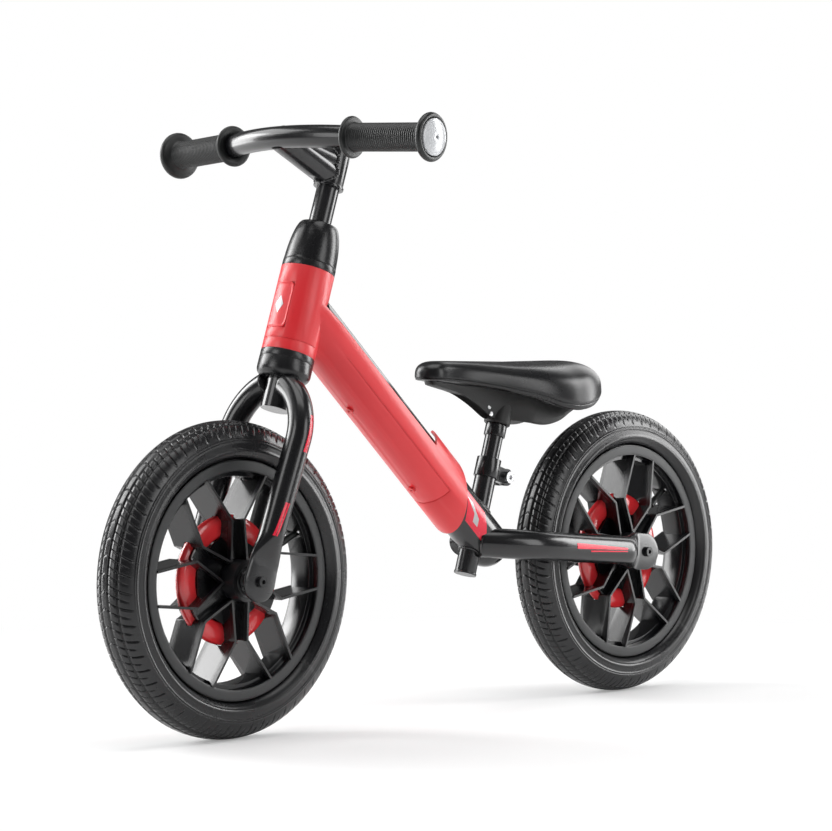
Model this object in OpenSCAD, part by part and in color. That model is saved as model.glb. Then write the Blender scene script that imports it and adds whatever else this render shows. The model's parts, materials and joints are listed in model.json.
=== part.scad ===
// Balance bike with twelve inch wheels.
// The origin is on the ground, midway between the two wheel contacts.
// +X points forward, +Y to the rider's left and +Z up. Every size is in millimetres.

/* [Wheels] */
// Diameter of a tyre over its tread
tyre_d = 304; // [280:1:330]
// Width of a tyre
tyre_w = 50; // [44:1:54]
// Diameter over a rim's flanges
rim_d = 229; // [214:1:236]
// Width over a rim's flanges
rim_w = 37.4; // [34:0.2:40]
// Distance between the two axles
wheelbase = 577.4; // [540:1:640]
// Number of windows between the Y-shaped spokes
window_count = 6; // [5:1:7]
// Thickness of a spoke's ribs
rib_wall = 2.4; // [1.8:0.1:3.4]
// Diameter of an axle
axle_d = 10; // [8:0.5:12]

/* [Fork and steering] */
// Lean of the head tube away from upright
head_lean = 19; // [14:1:23]
// How far the front axle lies ahead of the steering axis
fork_offset = 9.6; // [4:0.2:16]
// Diameter of a fork leg
leg_d = 25; // [20:0.5:28]
// Distance between the two fork legs' centre lines
leg_span = 96; // [90:1:108]
// Diameter of the steerer tube
steerer_d = 28.6; // [26:0.2:30]
// Length of the head tube between its cups
head_len = 86; // [76:1:96]
// Diameter over the headset's cups
cup_d = 53; // [50:0.5:58]

/* [Handlebar] */
// Diameter of the handlebar and of the quill tube
bar_d = 22.4; // [20:0.2:24]
// Distance between the two grips' outer ends
bar_w = 367; // [330:1:400]
// How far the bar's middle stands ahead of the steering axis
bar_reach = 75; // [60:1:84]
// Length of a grip
grip_len = 103; // [90:1:108]
// Diameter of the stem's sleeve
sleeve_d = 28; // [26:0.5:31]

/* [Frame] */
// Diameter of the down tube
main_d = 48; // [42:1:52]
// Slope of the down tube below level
main_slope = 42.75; // [40:0.25:45]
// Wall of the down tube
main_wall = 2; // [1.5:0.1:3]
// Outside diameter of the moulded cover round the down tube
cover_d = 59; // [56:0.5:62]
// Wall of the moulded cover
cover_wall = 2.6; // [1.8:0.1:3.2]
// Diameter of a rear stay
stay_d = 31; // [26:0.5:32]
// Distance between the two rear stays' centre lines
stay_span = 90; // [86:1:100]

/* [Seat] */
// Lean of the seat tube away from upright
seat_lean = 18; // [14:1:22]
// Diameter of the seat tube
seat_tube_d = 22.4; // [21:0.2:24]
// Diameter of the seat post
post_d = 19; // [17:0.2:20]
// Length of the saddle
saddle_len = 248; // [220:1:270]
// Width of the saddle at its rear
saddle_w = 132; // [110:1:150]
// Height of the saddle's top above the ground
saddle_h = 360; // [345:1:385]

/* [Hidden] */
$fn = 64;

// Clearance of a running fit, on the radius
run_gap = 0.05;
// Gap between faces that pass each other
face_gap = 0.3;
// How far an elbow's ball stands proud of the tubes that it joins
elbow_gap = 0.15;
// Gap between two pieces that are seated in each other
seat_gap = 0.08;
// How far a cutting tool runs past the face that it cuts
over = 1;
// Thickness of the thin discs that a hull joins
tiny = 0.01;

// Wheels
tyre_r = tyre_d / 2;
rim_r = rim_d / 2;
front_x = wheelbase / 2;
rear_x = -wheelbase / 2;
// Turn of the windows on each wheel
front_phase = 1.5;
rear_phase = 16.5;
flange_wall = 2.8;
bed_r = rim_r - 8;
rim_in_r = rim_r - 10.5;
well_r = rim_in_r - 5;
well_w = 18;
section_h = 33.7;
section_power = 0.8;
// A window's outline: its apex at the hub, its widest place and its end at the rim
apex_r = 20.8;
kink_r = 53.7;
kink_half = 22.1;
rim_half = 15.7;
hub_r = 20;
hub_half = 32;
rib_half = rim_w / 2 + 1.3;
web_half = 11;
// The hub's hexagonal plate and the light ring that stands round it
plate_apothem = 41;
plate_half = 6;
ring_in_r = 40;
ring_out_r = 62.8;
ring_half = 4;
bearing_r = 11;
bearing_w = 7;
axle_r = axle_d / 2;
valve_turn = 22;

// Steering axis: a point on it at axle height, and the frame along it
head_foot_x = front_x - fork_offset / cos(head_lean);
steer_r = steerer_d / 2;
cup_r = cup_d / 2;
quill_r = bar_d / 2;
head_low = 225.7;
head_high = head_low + head_len;
cup_h = 6.7;
head_tube_r = 20;
head_bore_r = 17;
bearing_out_r = 21;
crown_low = 199.6;
cap_high = head_high + 49;
// Fork legs, in the frame along the steering axis
leg_r = leg_d / 2;
leg_y = leg_span / 2;
leg_bend_r = 60;
leg_bend_turn = 66;
leg_bend_s = 140;
axle_f = fork_offset;
axle_s = -fork_offset * tan(head_lean);
plate_t = 5;
front_plate_in = leg_y - 4;
plate_r = 20;
bolt_r = 3;
bolt_head_r = 5.2;
bolt_head_h = 3.6;
spacer_r = 8;

// Stem and handlebar
ring_low = cap_high + 38.5;
sleeve_low = ring_low + 3;
sleeve_high = sleeve_low + 48;
quill_low = 262;
arm_s = sleeve_low + 9.5;
arm_rise = 27.1;
sleeve_r = sleeve_d / 2;
arm_r = 13.4;
bar_mid_x = head_foot_x - arm_s * sin(head_lean) + (bar_reach - 6.5);
bar_mid_z = tyre_r + arm_s * cos(head_lean) + (bar_reach - 6.5) * tan(arm_rise);
// The bar's middle is one arc, and its ends are straight
bow_half = bar_w / 2 - grip_len + 1;
bow_sag = 15.4;
bow_r = (bow_half * bow_half + bow_sag * bow_sag) / (2 * bow_sag);
bow_turn = asin(bow_half / bow_r);
bow_tilt = 12.4;
grip_back = 7.1;
grip_drop = 2.7;
bow_end_x = bar_mid_x - bow_sag * cos(bow_tilt);
bow_end_z = bar_mid_z - bow_sag * sin(bow_tilt);
grip_r = 13.4;
grip_flange_r = 20.3;
grip_end_r = 23.4;

// Down tube, which starts on the steering axis
main_r = main_d / 2;
main_s = 277;
main_x = head_foot_x - main_s * sin(head_lean);
main_z = tyre_r + main_s * cos(head_lean);
main_len = 361;
cover_r = cover_d / 2;
cover_in_r = cover_r - cover_wall;
cover_head_r = cup_r;
cover_end_x = -19;
cover_swell = 34;
slot_edge = 76;
collar_edge = 20;
groove_turn = 114;
groove_low = 62;
groove_high = 262;
collar_start = 214;
badge_low = 246;
badge_high = 293;
badge_half_turn = 27;
badge_t = 1.2;

// Seat tube, which crosses the down tube
seat_tube_r = seat_tube_d / 2;
seat_cross_t = 339;
seat_cross_x = main_x - seat_cross_t * cos(main_slope);
seat_cross_z = main_z - seat_cross_t * sin(main_slope);
seat_low = -45;
seat_high = 74;
clamp_h = 20;
clamp_r = seat_tube_r + 1.6;
post_r = post_d / 2;
post_bore_r = post_r + run_gap;
post_sleeve_low = seat_high + 27;
post_sleeve_high = post_sleeve_low + 13;
socket_r = 13.8;
post_top = saddle_h - 44;
post_sleeve_r = 11.2;
ear_back = clamp_r + 11;
ear_s = seat_high - clamp_h / 2;

// Rear stays
stay_r = stay_d / 2;
stay_y = stay_span / 2;
stay_start = [-60, 171.5];
stay_turn_x = -112;
rear_plate_in = stay_y - 6.5;

// Saddle
pad_nose_r = 19;
pad_nose_x = 19;
pad_tail_x = pad_nose_x - saddle_len;
keel_half = 7;
// Length of the saddle's widest part, and of the part that widens towards it
flat_len = 13;
flare_len = saddle_len - pad_nose_r - saddle_w / 2 - flat_len;

// Frames of the wheels, of the steering axis, of the down tube and of the seat tube
module at_wheel(x, phase) {
  translate([x, 0, tyre_r]) rotate([-90, 0, 0]) rotate([0, 0, phase]) children();
}
module at_head() {
  translate([head_foot_x, 0, tyre_r]) rotate([0, -head_lean, 0]) children();
}
module at_main() {
  translate([main_x, 0, main_z]) rotate([0, -90 - main_slope, 0]) children();
}
module at_seat() {
  translate([seat_cross_x, 0, seat_cross_z]) rotate([0, -seat_lean, 0]) children();
}
module both_sides() {
  children();
  mirror([0, 1, 0]) children();
}
// A round pipe of radius r with bore radius b, from height low to height high
module pipe(r, b, low, high) {
  translate([0, 0, low]) difference() {
    cylinder(r = r, h = high - low);
    translate([0, 0, -over]) cylinder(r = b, h = high - low + 2 * over);
  }
}
// A straight bar of radius r between two points
module rod(from, to, r) {
  d = to - from;
  len = norm(d);
  translate(from) rotate([0, acos(d[2] / len), atan2(d[1], d[0])]) cylinder(r = r, h = len);
}
// A thick flat line between two points of a plane
module line(from, to, wall) {
  d = to - from;
  translate(from) rotate(atan2(d[1], d[0])) translate([0, -wall / 2]) square([norm(d), wall]);
  translate(to) circle(d = wall + elbow_gap);
}

// ---- Wheels ----

// Half of a tyre's section: distance from the axis against distance from the mid-plane
function tyre_side(grow) = [
  for (a = [0:8:80]) [tyre_r - section_h + (section_h + grow) * pow(cos(a), section_power),
    (tyre_w / 2 + grow) * pow(sin(a), section_power)],
  [rim_r + 8, tyre_w / 2 - 0.6 + grow],
  [rim_r + 4, tyre_w / 2 - 2.8 + grow],
  [rim_r + 1.6, rim_w / 2 - flange_wall + 1.6 + grow],
  [rim_r + 0.3, rim_w / 2 - flange_wall - 0.1 + grow],
  [bed_r + 0.1, rim_w / 2 - flange_wall - 0.1 + grow]];
function mirrored(side) = concat(side, [for (i = [len(side) - 1:-1:0]) [side[i][0], -side[i][1]]]);

module tyre_ring() {
  rotate_extrude($fn = 96) difference() {
    polygon(mirrored(tyre_side(0)));
    polygon(mirrored(tyre_side(-4)));
    translate([bed_r - 4, -9]) square([10, 18]);
  }
}
module inner_tube_ring() {
  wall = 1.4;
  rotate_extrude($fn = 96) difference() {
    intersection() {
      polygon(mirrored(tyre_side(-4.4)));
      translate([bed_r + 0.6, -30]) square([60, 60]);
    }
    intersection() {
      polygon(mirrored(tyre_side(-4.4 - wall)));
      translate([bed_r + 0.6 + wall, -30]) square([60, 60]);
    }
  }
}
// Section of a hoop before its tyre bed is cut, larger by gap at its inner side
module rim_blank(gap) {
  difference() {
    translate([well_r - gap, -rim_w / 2 - gap]) square([rim_r - well_r + gap, rim_w + 2 * gap]);
    for (side = [0, 1]) mirror([0, side]) translate([well_r - over, well_w / 2 + 3 + gap])
      square([rim_in_r - well_r + over - gap, 20]);
  }
}
module rim_section() {
  difference() {
    rim_blank(0);
    translate([bed_r, -rim_w / 2 + flange_wall]) square([20, rim_w - 2 * flange_wall]);
    translate([bed_r - 5, -well_w / 2]) square([20, well_w]);
  }
}
module window_ribs() {
  for (side = [-1, 1]) {
    line([apex_r, 0], [kink_r, side * kink_half], rib_wall);
    line([kink_r, side * kink_half], [rim_in_r + 2, side * rim_half], rib_wall);
  }
}
module window_area() {
  polygon([[apex_r, 0], [kink_r, kink_half], [well_r, rim_half], [well_r, -rim_half],
    [kink_r, -kink_half]]);
}
module wheel_rim() {
  difference() {
    rotate_extrude($fn = 96) rim_section();
    rotate(valve_turn + 180) rotate([0, 90, 0]) translate([0, 0, well_r - 5])
      cylinder(r = 3.2, h = 20);
  }
}
// The spokes, the web between them, the hub's plate and the hub's barrel
module wheel_spokes() {
  hex_turn = 180 / window_count;
  difference() {
    union() {
      translate([0, 0, -rib_half]) linear_extrude(2 * rib_half) intersection() {
        for (i = [0:window_count - 1]) rotate(i * 360 / window_count) window_ribs();
        circle(r = rim_in_r + 0.3, $fn = 96);
      }
      translate([0, 0, -web_half]) linear_extrude(2 * web_half) difference() {
        circle(r = kink_r + 3, $fn = 96);
        for (i = [0:window_count - 1]) rotate(i * 360 / window_count) window_area();
      }
      rotate(hex_turn) translate([0, 0, -plate_half])
        linear_extrude(2 * plate_half) polygon([for (i = [0:window_count - 1])
          plate_apothem / cos(hex_turn) * [cos(i * 2 * hex_turn), sin(i * 2 * hex_turn)]]);
      cylinder(r = hub_r, h = 2 * hub_half, center = true);
    }
    rotate_extrude($fn = 96) rim_blank(seat_gap);
    rotate_extrude($fn = 96) translate([ring_in_r - seat_gap, -ring_half - seat_gap])
      square([ring_out_r - ring_in_r + 2 * seat_gap, 2 * (ring_half + seat_gap)]);
    cylinder(r = bearing_r - 2, h = 3 * hub_half, center = true);
    for (end = [-1, 1]) translate([0, 0, end * (hub_half - bearing_w / 2 + over / 2)])
      cylinder(r = bearing_r + seat_gap / 2, h = bearing_w + over, center = true);
    for (end = [-1, 1]) translate([0, 0, end * hub_half]) rotate_extrude()
      translate([14.5, 0]) circle(r = 1.4, $fn = 24);
  }
}
module light_ring() {
  bevel = 2.4;
  rotate_extrude($fn = 96) polygon([[ring_in_r, -ring_half], [ring_out_r - bevel, -ring_half],
    [ring_out_r, -ring_half + bevel], [ring_out_r, ring_half - bevel],
    [ring_out_r - bevel, ring_half], [ring_in_r, ring_half]]);
}
module valve_stem() {
  rotate(valve_turn + 180) rotate([0, 90, 0]) {
    translate([0, 0, well_r - 22]) cylinder(r = 3.2, h = 28);
    translate([0, 0, well_r - 24]) cylinder(r = 3.8, h = 11);
  }
}
module bearing_pair() {
  for (end = [-1, 1]) translate([0, 0, end * (hub_half - bearing_w / 2)])
    pipe(bearing_r, axle_r + run_gap, -bearing_w / 2, bearing_w / 2);
}
module axle_shaft(plate_in) {
  difference() {
    cylinder(r = axle_r, h = 2 * plate_in, center = true);
    for (end = [-1, 1]) translate([0, 0, end * plate_in]) cylinder(r = bolt_r, h = 36, center = true);
  }
}
module axle_spacers(plate_in) {
  for (end = [-1, 1]) translate([0, 0, end * (hub_half + face_gap + plate_in) / 2])
    pipe(spacer_r, axle_r, (hub_half + face_gap - plate_in) / 2, (plate_in - hub_half - face_gap) / 2);
}
module axle_bolts(plate_in) {
  for (end = [-1, 1]) scale([1, 1, end]) difference() {
    union() {
      translate([0, 0, plate_in - 16]) cylinder(r = bolt_r, h = 16 + plate_t + tiny);
      translate([0, 0, plate_in + plate_t]) cylinder(r = bolt_head_r, h = bolt_head_h);
    }
    translate([0, 0, plate_in + plate_t + 1.4]) cylinder(r = 2.3, h = bolt_head_h, $fn = 6);
  }
}

module front_rim() { color("#222222") at_wheel(front_x, front_phase) wheel_rim(); }
module rear_rim() { color("#222222") at_wheel(rear_x, rear_phase) wheel_rim(); }
module front_spokes() { color("#1c1c1c") at_wheel(front_x, front_phase) wheel_spokes(); }
module rear_spokes() { color("#1c1c1c") at_wheel(rear_x, rear_phase) wheel_spokes(); }
module front_tyre() { color("#2b2c2e") at_wheel(front_x, 0) tyre_ring(); }
module rear_tyre() { color("#2b2c2e") at_wheel(rear_x, 0) tyre_ring(); }
module front_inner_tube() { color("#151515") at_wheel(front_x, front_phase) inner_tube_ring(); }
module rear_inner_tube() { color("#151515") at_wheel(rear_x, rear_phase) inner_tube_ring(); }
module front_valve() { color("#151515") at_wheel(front_x, front_phase) valve_stem(); }
module rear_valve() { color("#151515") at_wheel(rear_x, rear_phase) valve_stem(); }
module front_light_ring() { color("#e8383c") at_wheel(front_x, 0) light_ring(); }
module rear_light_ring() { color("#e8383c") at_wheel(rear_x, 0) light_ring(); }
module front_bearings() { color("silver") at_wheel(front_x, 0) bearing_pair(); }
module rear_bearings() { color("silver") at_wheel(rear_x, 0) bearing_pair(); }
module front_axle() { color("silver") at_wheel(front_x, 0) axle_shaft(front_plate_in); }
module rear_axle() { color("silver") at_wheel(rear_x, 0) axle_shaft(rear_plate_in); }
module front_spacers() { color("#303030") at_wheel(front_x, 0) axle_spacers(front_plate_in); }
module rear_spacers() { color("#303030") at_wheel(rear_x, 0) axle_spacers(rear_plate_in); }
module front_axle_bolts() { color("#101010") at_wheel(front_x, 0) axle_bolts(front_plate_in); }
module rear_axle_bolts() { color("#101010") at_wheel(rear_x, 0) axle_bolts(rear_plate_in); }

// ---- Fork and steering ----

// A leg with its centre line at +Y: a bend out of the steerer, a straight run and a pressed end
module fork_leg() {
  bend_y = leg_y - leg_bend_r;
  lean_in = atan2(axle_f - 5, leg_bend_s - 40);
  low = [axle_f - 1, leg_y - 1.5, 40];
  difference() {
    union() {
      translate([5, bend_y, leg_bend_s]) rotate([90, 0, 90]) rotate_extrude(angle = leg_bend_turn)
        translate([leg_bend_r, 0]) circle(r = leg_r);
      translate([5, leg_y, leg_bend_s]) sphere(r = leg_r);
      rod(low, [5, leg_y, leg_bend_s], leg_r);
      hull() {
        translate(low) rotate([0, lean_in, 0]) cylinder(r = leg_r, h = tiny, $fn = 32);
        translate([axle_f, front_plate_in + plate_t / 2, 12])
          cube([2 * plate_r - 3, plate_t, tiny], center = true);
      }
      translate([axle_f, front_plate_in, axle_s]) leg_plate(16);
    }
    translate([0, 0, 140]) cylinder(r = steer_r, h = 100);
    translate([axle_f, front_plate_in - over, axle_s]) rotate([-90, 0, 0])
      cylinder(r = bolt_r + 0.2, h = 3 * plate_t);
    translate([-60, 0, crown_low]) cube([120, 120, 60]);
    translate([-60, -60, 100]) cube([120, 60, 140]);
  }
}
// The pressed end of a leg: a plate with a round lower end, up to height top over the axle
module leg_plate(top) {
  rotate([-90, 0, 0]) cylinder(r = plate_r, h = plate_t);
  translate([-plate_r + 1.2, 0, 0]) cube([2 * plate_r - 2.4, plate_t, top]);
}
module left_fork_leg() { color("#1b1b1c") at_head() fork_leg(); }
module right_fork_leg() { color("#1b1b1c") at_head() mirror([0, 1, 0]) fork_leg(); }
module steerer_tube() {
  color("#1b1b1c") at_head() {
    pipe(steer_r, quill_r + run_gap, 172, head_high + 40);
    translate([0, 0, 170]) cylinder(r = steer_r, h = 2);
  }
}
module crown_cap() {
  soft = 9;
  color("#202021") at_head() rotate_extrude() difference() {
    union() {
      translate([steer_r, crown_low + soft])
        square([cup_r - steer_r + 0.2, head_low - cup_h - face_gap - crown_low - soft]);
      translate([steer_r, crown_low]) square([cup_r - soft - steer_r, soft]);
      translate([cup_r - soft + 0.2, crown_low + soft]) intersection() {
        circle(r = soft);
        translate([0, -soft]) square(soft);
      }
    }
    translate([steer_r - over, crown_low + soft + 3]) square([5 + over, 20]);
  }
}
module headset_cap() {
  low = head_high + cup_h + face_gap;
  rise = cap_high - low;
  shoulder_r = 16.6;
  color("#1d1e1f") at_head() rotate_extrude() difference() {
    polygon(concat([[quill_r + face_gap, low], [cup_r - 0.3, low]],
      [for (a = [10:10:80]) [shoulder_r + (cup_r - 0.6 - shoulder_r) * cos(a),
        low + 3 + (rise - 3) * pow(sin(a), 1.25)]],
      [[shoulder_r - 1, cap_high], [quill_r + face_gap, cap_high]]));
    polygon([[0, low - over], [steer_r + 6.6, low - over], [steer_r + 6.6, low + 12],
      [steer_r + 1, low + 12], [steer_r + 1, head_high + 41], [0, head_high + 41]]);
  }
}
module steerer_locknut() {
  low = head_high + cup_h + face_gap;
  color("silver") at_head() difference() {
    translate([0, 0, low]) cylinder(r = steer_r + 5, h = 7, $fn = 6);
    translate([0, 0, low - over]) cylinder(r = steer_r, h = 20);
  }
}

// ---- Stem and handlebar ----

module quill_tube() { color("#1b1b1c") at_head() pipe(quill_r, quill_r - 1.8, quill_low, sleeve_high - 6); }
module quill_wedge() {
  color("silver") at_head() difference() {
    translate([0, 0, quill_low - 22]) cylinder(r = quill_r, h = 22 - 0.1);
    translate([0, 0, quill_low - 30]) cylinder(r = 4, h = 40);
  }
}
module quill_bolt() {
  color("silver") at_head() difference() {
    union() {
      translate([0, 0, quill_low - 22]) cylinder(r = 4, h = sleeve_high - 6 - quill_low + 22);
      translate([0, 0, sleeve_high - 6]) cylinder(r = 9, h = 4);
    }
    translate([0, 0, sleeve_high - 4]) cylinder(r = 3, h = 4, $fn = 6);
  }
}
module stem_sleeve() {
  color("#1b1b1c") at_head() pipe(sleeve_r, quill_r, sleeve_low, sleeve_high);
}
module stem_plug() {
  color("#101010") at_head() {
    translate([0, 0, sleeve_high - 2]) cylinder(r = quill_r, h = 2);
    translate([0, 0, sleeve_high]) cylinder(r = sleeve_r + 0.4, h = 2.4);
  }
}
module stem_ring() {
  color("#1b1b1c") at_head() difference() {
    union() {
      pipe(sleeve_r + 1, quill_r, ring_low, sleeve_low);
      translate([sleeve_r + 1.5, 0, ring_low + 1.5]) cube([5, 7, 3], center = true);
    }
    pipe(quill_r + 0.01, quill_r - 1, ring_low - over, sleeve_low + over);
  }
}
module stem_screw() {
  color("silver") at_head() translate([sleeve_r + 4.05, 0, ring_low + 1.5]) rotate([0, 90, 0])
    cylinder(r = 1.2, h = 1.4);
}
// A coped tube from the sleeve to the middle of the bar, with a second one that fills its top
module stem_arm() {
  foot = [head_foot_x - arm_s * sin(head_lean), 0, tyre_r + arm_s * cos(head_lean)];
  color("#1b1b1c") difference() {
    union() {
      rod(foot, [bar_mid_x, 0, bar_mid_z], arm_r);
      rod(foot + 13 * [-sin(head_lean), 0, cos(head_lean)], [bar_mid_x, 0, bar_mid_z], arm_r - 0.8);
    }
    at_head() translate([0, 0, sleeve_low - 19.95]) cylinder(r = sleeve_r + 30, h = 20);
    at_head() translate([0, 0, sleeve_low - 20]) cylinder(r = sleeve_r, h = 120);
    bar_arc(quill_r + seat_gap);
  }
}
module bar_arc(r) {
  translate([bar_mid_x, 0, bar_mid_z]) rotate([0, -bow_tilt, 0]) translate([-bow_r, 0, 0])
    rotate([0, 0, -bow_turn]) rotate_extrude(angle = 2 * bow_turn, $fn = 360)
      translate([bow_r, 0]) circle(r = r, $fn = 64);
}
// Frame along a grip, from the end of the bar's arc outward at +Y
module at_grip() {
  translate([bow_end_x, bow_half, bow_end_z]) rotate([-90 - grip_drop, 0, grip_back]) children();
}
module handlebar() {
  color("#1b1b1c") {
    bar_arc(quill_r);
    both_sides() at_grip() difference() {
      union() {
        sphere(r = quill_r + elbow_gap);
        cylinder(r = quill_r, h = grip_len - 8);
      }
      translate([0, 0, grip_len - 28]) cylinder(r = quill_r - 2, h = 30);
    }
  }
}
module grip() {
  at_grip() difference() {
    union() {
      rotate_extrude() translate([0, -1]) {
        square([grip_flange_r - 1.6, 4.4]);
        translate([grip_flange_r - 1.9, 2.2]) circle(r = 2.2, $fn = 32);
        square([grip_r, grip_len - 6]);
        translate([0, grip_len - 9]) square([grip_end_r - 2.4, 5.8]);
        translate([grip_end_r - 2.9, grip_len - 6.1]) circle(r = 2.9, $fn = 32);
      }
    }
    sphere(r = quill_r + elbow_gap);
    cylinder(r = quill_r, h = grip_len - 8);
    translate([0, 0, grip_len - 6]) cylinder(r = 17.6, h = 10);
  }
}
module left_grip() { color("#17191a") difference() { grip(); bar_arc(quill_r); } }
module right_grip() { color("#17191a") mirror([0, 1, 0]) difference() { grip(); bar_arc(quill_r); } }
module grip_end_caps() {
  dome_r = 60;
  color("#c9cbcd") both_sides() at_grip() translate([0, 0, grip_len - 6]) difference() {
    intersection() {
      translate([0, 0, 5 - dome_r]) sphere(r = dome_r, $fn = 96);
      cylinder(r = 17.6, h = 10);
    }
    translate([0, 0, 2]) cylinder(r = 1.8, h = 10, $fn = 32);
  }
}

// ---- Frame ----

// The down tube's bar of radius r, with its round lower end, as one turned solid
module main_bar(r) {
  at_main() rotate_extrude() intersection() {
    union() {
      square([r, main_len]);
      translate([0, main_len]) circle(r = r);
    }
    square([r, main_len + r]);
  }
}

module head_tube() { color("#1b1b1c") at_head() pipe(head_tube_r, head_bore_r, head_low, head_high); }
module main_tube() {
  color("#1b1b1c") difference() {
    main_bar(main_r);
    main_bar(main_r - main_wall);
    at_head() translate([0, 0, head_low - 40]) cylinder(r = head_tube_r, h = 180);
    at_head() translate([-head_tube_r, -60, head_low - 40]) cube([120, 120, 180]);
    at_seat() translate([0, 0, seat_low]) cylinder(r = seat_tube_r, h = seat_high - seat_low);
    cover_screw_holes(2.05);
  }
}
module seat_tube() { color("#1b1b1c") at_seat() pipe(seat_tube_r, post_bore_r, seat_low, seat_high); }
module seat_tube_plug() {
  color("#101010") at_seat() {
    translate([0, 0, seat_low]) cylinder(r = post_bore_r, h = 5);
    translate([0, 0, seat_low - 2.4]) cylinder(r = seat_tube_r + 0.5, h = 2.4);
  }
}
// A stay with its centre line at +Y: out of the down tube, along the wheel and to a pressed end
module stay() {
  slope_z = (stay_start[1] - tyre_r) / (stay_start[0] - rear_x);
  turn = [stay_turn_x, stay_y, tyre_r + (stay_turn_x - rear_x) * slope_z];
  start = [stay_start[0], 14, stay_start[1]];
  neck = [rear_x + 44, stay_y - 0.5, tyre_r + 44 * slope_z];
  difference() {
    union() {
      rod(turn, start, stay_r);
      translate(turn) rotate([90, 0, 0]) sphere(r = stay_r + elbow_gap);
      rod(neck, turn, stay_r);
      hull() {
        translate(neck) rotate([0, 90, 0]) cylinder(r = stay_r, h = tiny, $fn = 32);
        translate([rear_x + 14, rear_plate_in + plate_t / 2, tyre_r])
          cube([tiny, plate_t, 2 * plate_r - 5], center = true);
      }
      translate([rear_x, rear_plate_in, tyre_r]) rotate([0, 90, 0]) leg_plate(18);
    }
    main_bar(main_r);
    translate([rear_x, rear_plate_in - over, tyre_r]) rotate([-90, 0, 0])
      cylinder(r = bolt_r + 0.2, h = 3 * plate_t);
  }
}
module left_stay() { color("#1b1b1c") stay(); }
module right_stay() { color("#1b1b1c") mirror([0, 1, 0]) stay(); }

// The cover's shell round the head, with the hole that the down tube goes through
module cover_head() {
  difference() {
    at_head() translate([0, 0, head_low + 0.1]) cylinder(r = cover_head_r, h = head_len - 0.2);
    at_head() translate([0, 0, head_low - over])
      cylinder(r = cover_head_r - cover_wall, h = head_len + 2 * over);
    at_main() translate([0, 0, 8]) cylinder(r = main_r + 0.2, h = 60);
  }
}
// A round bar along the down tube that swells from the head's radius, smaller by inset
module cover_bar(inset) {
  at_main() {
    cylinder(r1 = cover_head_r - 0.3 - inset, r2 = cover_r - inset, h = cover_swell);
    translate([0, 0, cover_swell - tiny]) cylinder(r = cover_r - inset, h = main_len - cover_swell);
  }
}
module cover_sleeve() {
  difference() {
    intersection() {
      cover_bar(0);
      translate([cover_end_x, -60, 100]) cube([400, 120, 400]);
    }
    cover_bar(cover_wall);
    at_head() translate([0, 0, head_low - 40]) cylinder(r = cover_head_r - 0.4, h = 3 * head_len);
  }
}
// Wedge along the down tube that opens the cover's top, edge degrees to each side of the top
module top_slot(edge, low, high) {
  reach = 3 * cover_r;
  at_main() translate([0, 0, low]) linear_extrude(high - low)
    polygon([[0, 0], reach * [cos(edge), -sin(edge)], reach * [1, 0], reach * [cos(edge), sin(edge)]]);
}
module tube_cover() {
  color("#d8292f") difference() {
    union() {
      cover_head();
      cover_sleeve();
    }
    difference() {
      top_slot(slot_edge, 0, collar_start);
      at_head() translate([0, 0, head_low]) cylinder(r = cover_head_r + 0.1, h = 3 * head_len);
    }
    top_slot(collar_edge, collar_start - 5, main_len);
    at_head() translate([-60, -9, head_low + 30]) cube([60, 18, head_len]);
    at_head() badge_plate(badge_t);
    cover_grooves();
    cover_screw_holes(2.3);
  }
}
// Lines pressed into the cover: one along each side and one round the foot of the head
module cover_grooves() {
  depth = 0.7;
  wall = 1.2;
  at_main() for (side = [-1, 1]) rotate([0, 0, side * groove_turn])
    translate([cover_r - depth, -wall / 2, groove_low])
      cube([3, wall, groove_high - wall / 2 - groove_low]);
  at_main() translate([0, 0, groove_high]) rotate([0, 0, groove_turn])
    rotate_extrude(angle = 360 - 2 * groove_turn) translate([cover_r - depth, -wall]) square([3, wall]);
  at_head() translate([0, 0, head_low + 10]) rotate([0, 0, -110])
    rotate_extrude(angle = 220) translate([cover_head_r - depth, 0]) square([3, wall]);
}
// A curved plate on the front of the cover, sunk by depth
module badge_plate(depth) {
  translate([0, 0, badge_low]) rotate([0, 0, -badge_half_turn])
    rotate_extrude(angle = 2 * badge_half_turn)
      translate([cover_head_r - depth, 0]) square([depth + 0.5, badge_high - badge_low]);
}
module badge_panel() { color("#c7c8ca") at_head() badge_plate(badge_t); }
// Two screws from below that hold the cover to the down tube, and the holes for them
module at_cover_screws() {
  for (t = [120, 240]) at_main() translate([0, 0, t]) rotate([0, -90, 0]) children();
}
module cover_screws() {
  color("#202020") at_cover_screws() difference() {
    union() {
      translate([0, 0, main_r - main_wall - 4]) cylinder(r = 2, h = cover_r - main_r + main_wall + 5);
      translate([0, 0, cover_r + 0.1]) cylinder(r = 3.8, h = 1.8);
    }
    translate([0, 0, cover_r + 0.9]) cylinder(r = 1.3, h = 3, $fn = 6);
  }
}
module cover_screw_holes(r) {
  at_cover_screws() translate([0, 0, main_r - main_wall - 3]) cylinder(r = r, h = 14);
}
module upper_cup() {
  color("#202021") at_head() difference() {
    pipe(cup_r - 0.1, steer_r + 2, head_high, head_high + cup_h);
    translate([0, 0, head_high + 2]) cylinder(r = bearing_out_r, h = cup_h);
  }
}
module lower_cup() {
  color("#202021") at_head() difference() {
    pipe(cup_r + 0.1, steer_r + 2, head_low - cup_h, head_low);
    translate([0, 0, head_low - cup_h - over]) cylinder(r = bearing_out_r, h = cup_h - 2 + over);
  }
}
module upper_bearing() {
  color("silver") at_head() pipe(bearing_out_r, steer_r + run_gap, head_high + 2, head_high + cup_h);
}
module lower_bearing() {
  color("silver") at_head() pipe(bearing_out_r, steer_r + run_gap, head_low - cup_h, head_low - 2);
}

// ---- Seat ----

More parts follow.
